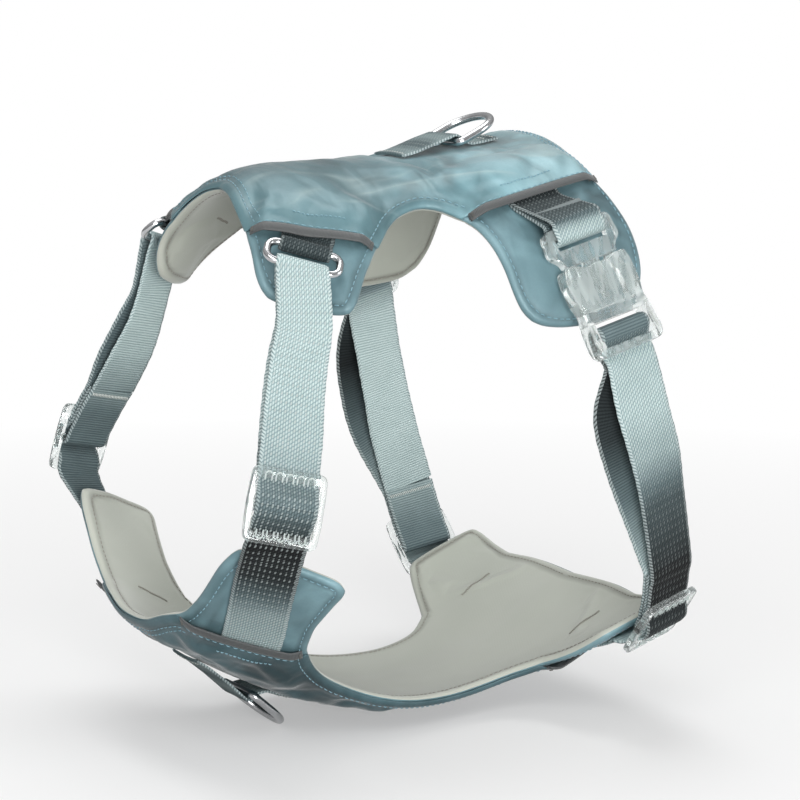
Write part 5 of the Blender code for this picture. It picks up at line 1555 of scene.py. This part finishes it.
def neck_strap(side, hand):
    """From the sewn end at the slider up round the ring, down through the slider and into the
    chest panel's front pocket."""
    strand, fold, wide, out = slider_path(NECK_SLIDER, 0.32, 0.75)
    centre = NECK_SLIDER[0]
    bar = NECK_TOP + NECK_DOWN * RING_SPAN
    hang = unit(np.array([-5.8, 4.2, -20.0]))
    hang_out = np.cross(NECK_ACROSS, hang)
    hang_out = hang_out if hang_out[1] > 0 else -hang_out
    over = arc_points(bar, hang_out, -hang, NECK_BEND, 190, -10, 10)
    # the right outer strand hangs a little slack, forward of the inner one
    slack = (0.0, 1.6, 2.2) if side > 0 else (0.0, 0.0, 0.0)
    outer = [np.array([x - k, y + 0.2 * k, z]) for (x, y, z), k in zip(
        ((-53.6, 69.0, 50.2), (-57.6, 71.6, 36.0), (-62.4, 76.4, 21.0)), slack)]
    inner = [fold[0] + unit(fold[0] - fold[1]) * 0.2, np.array([-60.6, 71.4, 22.0]),
             np.array([-56.0, 67.2, 36.0]), np.array([-52.0, 65.2, 51.2])]
    arm, arm_across = laid(
        CHEST, [(-74.2, 92.0), (-72.6, 82.0), (-70.6, 71.0), (-68.0, 58.0), (-66.0, 47.5)],
        (1.0, 0.33), [4.6, 3.75, 3.6, 3.6, 3.6])
    turns, count = len(over), len(strand)
    across = ([wide] * 2 + [NECK_ACROSS] * (2 + turns)
              + [NECK_ACROSS, unit(NECK_ACROSS + wide), wide] + [wide] * count + arm_across)
    widths = ([WEB_W, 24.6, 23.6, 22.4] + [LOOP_W] * turns + [22.3, 23.2, 24.2]
              + [WEB_W] * (count + len(arm)))
    tones = ([0.55, 0.85, 0.95, 0.95] + [0.95] * turns + [0.95, 0.92, 0.88]
             + list(np.interp(np.arange(count), [0, 2, 4, 7, 10, 12],
                              [0.80, 0.7, 0.50, 0.42, 0.03, 0.0]))
             + [0.04, 0.30, 0.66, 0.82, 0.88])
    rows = strip(side, inner + list(over) + outer + strand + arm, across, widths, tones)
    total = rows.run[-1]
    at_bar = nearest(rows, mirror(over[5], side), 10, total)
    cut_in = nearest(rows, mirror((-52.6, 65.4, 48.5), side), 0, at_bar)
    cut_out = nearest(rows, mirror((-54.0, 69.2, 48.5), side), at_bar, total)
    middle = nearest(rows, mirror(strand[7], side), cut_out, total)
    body = f"neck_adjuster_{hand}"
    cut_strap(f"neck_strap_{hand}", side, rows, [cut_in, cut_out, middle], [
        ("inside", body, "harness", centre + np.array([7, -9, 24]), (-53.0, 66.0, 47.0)),
        ("over_ring", f"neck_ring_{hand}", "harness", bar, (-53.6, 67.5, 52.0)),
        ("outside", "harness", body, (-54.0, 69.2, 47.0), centre),
        ("tail", body, "harness", centre, arm[0]),
    ], dots=0.75, ribs_to=at_bar - 4.0, inner_tone=(
        (0, at_bar, at_bar + 6, cut_out + 26, middle - 8, middle),
        (0.85, 0.9, 0.45, 0.35, 0.45, 0.3)))
    tones = [0.60, 0.50, 0.42] + [0.36] * (len(fold) - 6) + [0.3, 0.35, 0.4]
    adjuster("neck", side, hand, NECK_SLIDER, fold, wide, out, tones)


# ================================================================ side-release buckle

# local axes: x across, y down from the plug's top, z out
BUCKLE_TOP = np.array([67.5, 83.0, 81.5])
BUCKLE_AXES = frame_axes(unit((12.5, 22.0, -47.5)), (0.98, 0.0, 0.20))
BUCKLE_X, BUCKLE_Y, BUCKLE_Z = BUCKLE_AXES
SOCKET_HALF = 16.6
# outlines of (x, y, corner radius); plug and socket are right halves
PLUG_HALF = [(16.6, -4.0, 3.2), (17.0, 2.0, 2), (17.4, 6.6, 1.6), (13.2, 10.2, 2.4),
             (12.9, 12.8, 0.5)]
PRONG = [(7.9, 13.0, 0), (11.3, 13.0, 0), (12.0, 16.5, 1.5), (13.6, 19.4, 1.2), (17.2, 20.2, 1.0),
         (17.9, 22.4, 1.0), (16.9, 26.4, 1.8), (14.4, 30.4, 1.4), (11.6, 31.7, 1.0),
         (9.4, 31.0, 0.8), (9.6, 27.0, 1.2), (9.4, 21.0, 1.5)]
SOCKET_MOUTH = [(-9.5, 13.4, 1.5), (-5.0, 15.4, 2), (0, 14.2, 2), (5.0, 15.4, 2), (9.5, 13.4, 1.5)]
SOCKET_SIDE = [(SOCKET_HALF - 1.2, 13.4, 1.2), (SOCKET_HALF, 18.0, 2),
               (SOCKET_HALF - 0.2, 28.0, 2.2), (SOCKET_HALF - 1.6, 33.4, 2.0),
               (SOCKET_HALF - 0.3, 38.0, 2), (SOCKET_HALF + 0.3, BUCKLE_L - 5, 1.4),
               (SOCKET_HALF - 0.6, BUCKLE_L, 3.4)]


def buckle_plug(hand, matrix):
    """The plug's body with its webbing slot, three centre tongues and two prongs."""
    plug = prism(f"buckle_plug_{hand}_piece", rounded(both_sides(PLUG_HALF), 5), -2.6, 2.6)
    slot = boxes(((-13.2, 0.6, -5), (13.2, 5.4, 5)))
    tongues = []
    for k in (-1, 0, 1):
        tip = 30.0 - abs(k) * 2.5
        outline = [(k * 3.1 - 0.75, 11.0, 0), (k * 3.1 + 0.75, 11.0, 0),
                   (k * 2.5 + 0.55, tip, 0.5), (k * 2.5 - 0.55, tip, 0.5)]
        tongues.append(prism("tongue", rounded(outline, 3), -1.5, 1.5))
    carve(plug, 1.0, 3, cuts=(slot,), joins=tongues, soften=0.2)
    set_in_place(plug, matrix, M_BUCKLE)
    register(plug, "harness", "clear", f"buckle_plug_{hand}")
    for sign, which in ((-1, "front"), (1, "rear")):
        name = f"buckle_prong_{which}_{hand}"
        outline = [(sign * x, y, radius) for x, y, radius in PRONG]
        prong = prism(name + "_piece", rounded(outline, 4), -1.9, 1.9)
        carve(prong, 0.5, 2)
        set_in_place(prong, matrix, M_CLEAR)
        register(prong, name, "clear", name)


def buckle_socket(hand, matrix):
    """The hollow socket with side windows and a webbing slot crossed by a bar."""
    name = f"buckle_socket_{hand}"
    outline = both_sides(SOCKET_SIDE, SOCKET_MOUTH)
    socket = prism(name + "_piece", rounded(outline, 5), -BUCKLE_T / 2, BUCKLE_T / 2)
    cavity = boxes(((-14.9, 10, -2.35), (14.9, 33.0, 2.35)))
    windows = boxes(((-25, 17.6, -2.35), (25, 28.2, 2.35)))
    slot = boxes(((-13.0, 38.2, -8), (13.0, 49.6, 8)))
    inner_cut = boxes(((-13.05, 38.15, -8), (13.05, 60, -1.2)))
    outer_cut = boxes(((-30, 36.6, 3.3), (30, 46.5, 8)))
    bar = prism("bar", rounded(both_sides([(14.0, 42.3, 0.6), (14.0, 45.3, 0.6)]), 3), -1.5, 1.5)
    ridge = both_sides([(13.5, 31.2, 1.2), (12.0, 34.4, 1.2)])
    ridge = prism("ridge", rounded(ridge, 4), 4.0, 5.1)
    carve(socket, 1.7, 4, cuts=(cavity, windows, slot, inner_cut, outer_cut),
          joins=(bar, ridge), soften=0.25)
    set_in_place(socket, matrix, M_BUCKLE)
    register(socket, name, "clear", name)


def buckle_webbing(side, hand):
    """Short webbing from the rear pocket round the plug's bar."""
    bar = BUCKLE_TOP - BUCKLE_Y * 1.7
    bend = 2.6 + GAP + WEB_T / 2
    legs = np.array([(61.0, 55.5), (61.5, 61.0), (62.5, 66.8)])
    leg_in = BACK.off(legs, [UPPER_LEG, UPPER_LEG, UPPER_LEG + 0.1])
    leg_out = BACK.off(legs[::-1], [LOWER_LEG + 0.15, LOWER_LEG, LOWER_LEG])
    # (down, out) from the bar: the outer half of the turn, whose mirror image is the inner half
    outer = [(-5.5, 3.1), (-2.6, bend + 0.1), (0, bend + 0.2), (2.6, bend), (4.3, 1.8)]
    profile = outer + [(4.7, 0)] + [(down, -out) for down, out in outer[::-1]]
    turn = [bar + BUCKLE_Y * down + BUCKLE_Z * out for down, out in profile]
    across = unit(BACK.point(74.0, 61.0) - BACK.point(49.0, 61.0))
    tones = [0.04, 0.04, 0.08, 0.22, 0.55, 0.80, 0.92, 0.9, 0.8, 0.7] + [0.4] * 7
    rows = strip(side, list(leg_in) + turn + list(leg_out),
                 [across] * 3 + [BUCKLE_X] * len(turn) + [across] * 3, WEB_W, tones, step=1.5)
    ob = woven(f"buckle_webbing_{hand}_piece", rows, inner_up=side > 0, dots=0.25)
    register(ob, "harness", "webbing", f"buckle_webbing_{hand}")
    bartack(f"buckle_bartack_{hand}", side, turn[0] * 0.55 + leg_in[2] * 0.45, BUCKLE_X, BUCKLE_Z,
            reach=11.6, lift=0.1, zigzag=dict(half=1.1, pitch=0.62, radius=0.30),
            mat=T_MID, body="harness")


# ================================================================ girth strap

def girth_strap(side, hand):
    """From the sewn end at the slider up round the socket's bar, down through the slider and
    into the chest panel's rear pocket."""
    strand, fold, wide, out = slider_path(GIRTH_SLIDER, 0.43, 0.9)
    at = lambda down, height: BUCKLE_TOP + BUCKLE_Y * down + BUCKLE_Z * height
    bend = 2.12 + GAP + WEB_T / 2 + 0.1
    over = arc_points(at(43.8, 0), BUCKLE_Z, -BUCKLE_Y, bend, 180, -45, 10)
    # on the right the outer strand hangs forward and the inner one to the rear
    ahead = (-6.6, -8.6, -7.6) if side > 0 else (0.0, 0.0, 0.0)
    astern = (3.2, 5.2, 5.6) if side > 0 else (0.0, 0.0, 0.0)
    outer = [at(48.2, -0.4), at(50.2, -2.15), at(52.8, -2.45), at(58.0, -2.6)]
    outer += [np.array([x + k, y - 0.1 * k, z]) for (x, y, z), k in zip(
        ((84.6, 107.6, 10.0), (90.4, 109.2, -10.0), (95.6, 108.2, -30.0)), ahead)]
    inner_start = fold[0] + unit(fold[0] - fold[1]) * 0.3
    inner = [inner_start] + [np.array([x + k, y, z]) for (x, y, z), k in zip(
        ((91.0, 100.6, -32.0), (83.6, 99.6, -12.0), (78.6, 99.2, 8.0)), astern)]
    inner += [at(59.0, -6.4), at(50.5, -4.9), at(47.0, -3.6)]
    arm, arm_across = laid(CHEST, [(107.5, 74.0), (107.5, 66.0), (107.5, 57.0), (107.5, 46.5)],
                           (1.0, 0.0), [4.1, 3.65, 3.6, 3.6])
    turns, count = len(over), len(strand)
    twist = [unit((0.968, -0.12, 0.23)), unit((0.968, 0.0, 0.25)), unit((0.965, 0.06, 0.26))]
    across = ([wide] + twist + [BUCKLE_X] * (3 + turns + 4) + twist[::-1] + [wide] * count
              + arm_across)
    tones = ([0.80, 0.95, 1.0, 1.0, 0.95, 0.75, 0.50] + [0.40] * turns
             + [0.40, 0.6, 0.75, 0.88, 0.92, 0.70, 0.20]
             + list(np.interp(np.arange(count), [0, 3, 7, 12], [0.0, 0.0, 0.05, 0.3]))
             + [0.5, 0.6, 0.7, 0.75])
    rows = strip(side, inner + list(over) + outer + strand + arm, across, WEB_W, tones)
    total = rows.run[-1]
    at_bar = nearest(rows, mirror(over[5], side), 10, total)
    point_in = np.array([84.6 + astern[1], 99.8, -15.0])
    point_out = np.array([91.8 + ahead[1], 109.2 - 0.1 * ahead[1], -15.0])
    cut_in = nearest(rows, mirror(point_in, side), 0, at_bar)
    cut_out = nearest(rows, mirror(point_out, side), at_bar, total)
    middle = nearest(rows, mirror(strand[7], side), cut_out, total)
    if side > 0:
        inner_tone = ((0, at_bar - 8, at_bar + 7, at_bar + 14, at_bar + 46, at_bar + 80,
                       at_bar + 100), (0.5, 0.5, 0.45, 0.12, 0.02, 0.38, 0.55))
    else:
        inner_tone = ((0, 25, 60, 90, at_bar - 8, at_bar - 7, at_bar + 7, at_bar + 9),
                      (0.70, 0.50, 0.07, 0.0, 0.0, 0.45, 0.45, 0.9))
    body, centre = f"girth_adjuster_{hand}", GIRTH_SLIDER[0]
    cut_strap(f"girth_strap_{hand}", side, rows, [cut_in, cut_out, middle], [
        ("inside", body, "harness", inner_start, point_in),
        ("over_bar", f"buckle_socket_{hand}", "harness", at(52, -2), point_out),
        ("outside", "harness", body, point_out, centre),
        ("tail", body, "harness", centre, arm[0]),
    ], dots=0.22, ribs_to=at_bar + 7.0, inner_tone=inner_tone)
    tones = list(np.interp(np.arange(len(fold)), [0, 2, 5, len(fold) - 1],
                           [0.62, 0.50, 0.38, 0.32]))
    adjuster("girth", side, hand, GIRTH_SLIDER, fold, wide, out, tones)


for side, hand in ((1, "right"), (-1, "left")):
    neck_ring(side, hand)
    neck_loop(side, hand)
    neck_strap(side, hand)
    matrix = local_matrix(BUCKLE_TOP, BUCKLE_AXES, side)
    buckle_plug(hand, matrix)
    buckle_socket(hand, matrix)
    buckle_webbing(side, hand)
    girth_strap(side, hand)
tape_tacks.done("bartacks", T_DARK, "tape")
strip_threads.done("ring_strip_stitches", T_PALE, "webbing_dark")


# ================================================================ studio

WORLD_LEVEL = 0.46
FLOOR_BOUNCE = 0.30         # grey of the floor in bounced light
FLOOR_Z = -0.0008           # metres
VIEW_AZIMUTH, VIEW_ELEVATION = math.radians(30.6), math.radians(9.3)
VIEW_DISTANCE = 1.12        # metres


def floor_material():
    """A pale floor that fades to white with distance, is darker in bounced light, and is clear
    from below."""
    mat = new_material("studio_floor")
    geometry = mat.add("ShaderNodeNewGeometry").outputs
    length = mat.add("ShaderNodeVectorMath", {0: geometry["Position"]}, operation="LENGTH")
    far = mat.ramp(mat.math("DIVIDE", length.outputs["Value"], 1.2), (0.22, 0.35), (0.66, 1))
    ray = mat.add("ShaderNodeLightPath").outputs
    direct = mat.math("MAXIMUM", ray["Is Camera Ray"], ray["Is Transmission Ray"])
    seen = mat.math("MAXIMUM", direct, mat.times(ray["Is Glossy Ray"], 0.45))
    mat.set(Base_Color=mat.mix(seen, (FLOOR_BOUNCE,) * 3, (0.86, 0.86, 0.86)),
            Roughness=0.8, Specular_IOR_Level=0.1)
    glow = mat.add("ShaderNodeEmission", {0: (1.0, 1.0, 1.0)}).outputs[0]
    above = mat.mix_shader(mat.times(far, seen), mat.shader.outputs[0], glow)
    clear = mat.add("ShaderNodeBsdfTransparent").outputs[0]
    mat.output(mat.mix_shader(geometry["Backfacing"], above, clear))
    return mat.owner


def add_floor():
    mat = floor_material()
    bm = bmesh.new()
    bmesh.ops.create_circle(bm, cap_ends=True, radius=60.0, segments=64)
    mesh = bpy.data.meshes.new("studio_floor")
    bm.to_mesh(mesh)
    bm.free()
    mesh.transform(Matrix.Translation((0, 0, FLOOR_Z)))
    mesh.materials.append(mat)
    floor = bpy.data.objects.new("studio_floor", mesh)
    scene.collection.objects.link(floor)


def add_world():
    """Light that brightens upward; plain white to the camera and through clear plastic."""
    world = bpy.data.worlds.new("studio")
    scene.world = world
    sky = Nodes(world, "Background")
    up = sky.split(sky.add("ShaderNodeTexCoord").outputs["Generated"])[2]
    sky.set(Color=sky.ramp(up, (0.0, 0.45), (0.9, 1.0)), Strength=WORLD_LEVEL)
    plain = sky.add("ShaderNodeBackground", {0: (1.0, 1.0, 1.0)}).outputs[0]
    ray = sky.add("ShaderNodeLightPath").outputs
    direct = sky.math("MAXIMUM", ray["Is Camera Ray"], ray["Is Transmission Ray"])
    sky.output(sky.mix_shader(direct, sky.shader.outputs[0], plain), "World Output")


def area_light(name, location, size, energy, target=(0, 0, 0.13)):
    """A disk light aimed at the target, in metres and watts."""
    light = bpy.data.lights.new(name, "AREA")
    light.shape = "DISK"
    light.size = size
    light.energy = energy
    ob = bpy.data.objects.new(name, light)
    ob.location = location
    ob.rotation_mode = "QUATERNION"
    ob.rotation_quaternion = (Vector(location) - Vector(target)).to_track_quat("Z", "Y")
    scene.collection.objects.link(ob)


def add_camera():
    """A long lens from the front left, a little above."""
    toward = Vector((-math.sin(VIEW_AZIMUTH) * math.cos(VIEW_ELEVATION),
                     -math.cos(VIEW_AZIMUTH) * math.cos(VIEW_ELEVATION),
                     math.sin(VIEW_ELEVATION)))
    data = bpy.data.cameras.new("photo_view")
    camera = bpy.data.objects.new("photo_view", data)
    scene.collection.objects.link(camera)
    camera.location = toward * VIEW_DISTANCE + Vector(world_tuple((0, 0, 0)))
    camera.rotation_mode = "QUATERNION"
    camera.rotation_quaternion = (-toward).to_track_quat("-Z", "Y")
    data.lens, data.sensor_width = 117, 36
    data.shift_x, data.shift_y = 0.084125, 0.0165
    data.clip_start = 0.01
    scene.camera = camera


add_floor()
add_world()
area_light("key", (-0.9, -1.1, 1.3), size=1.0, energy=9.0)
area_light("front", (-0.55, -1.40, 0.14), size=0.8, energy=24.0)
area_light("fill", (1.5, -1.2, 0.6), size=0.9, energy=7.0)
area_light("top", (0.15, 0.35, 1.6), size=1.1, energy=11.0)
add_camera()
scene.view_settings.view_transform = "Standard"
scene.view_settings.look = "None"

bpy.context.view_layer.update()
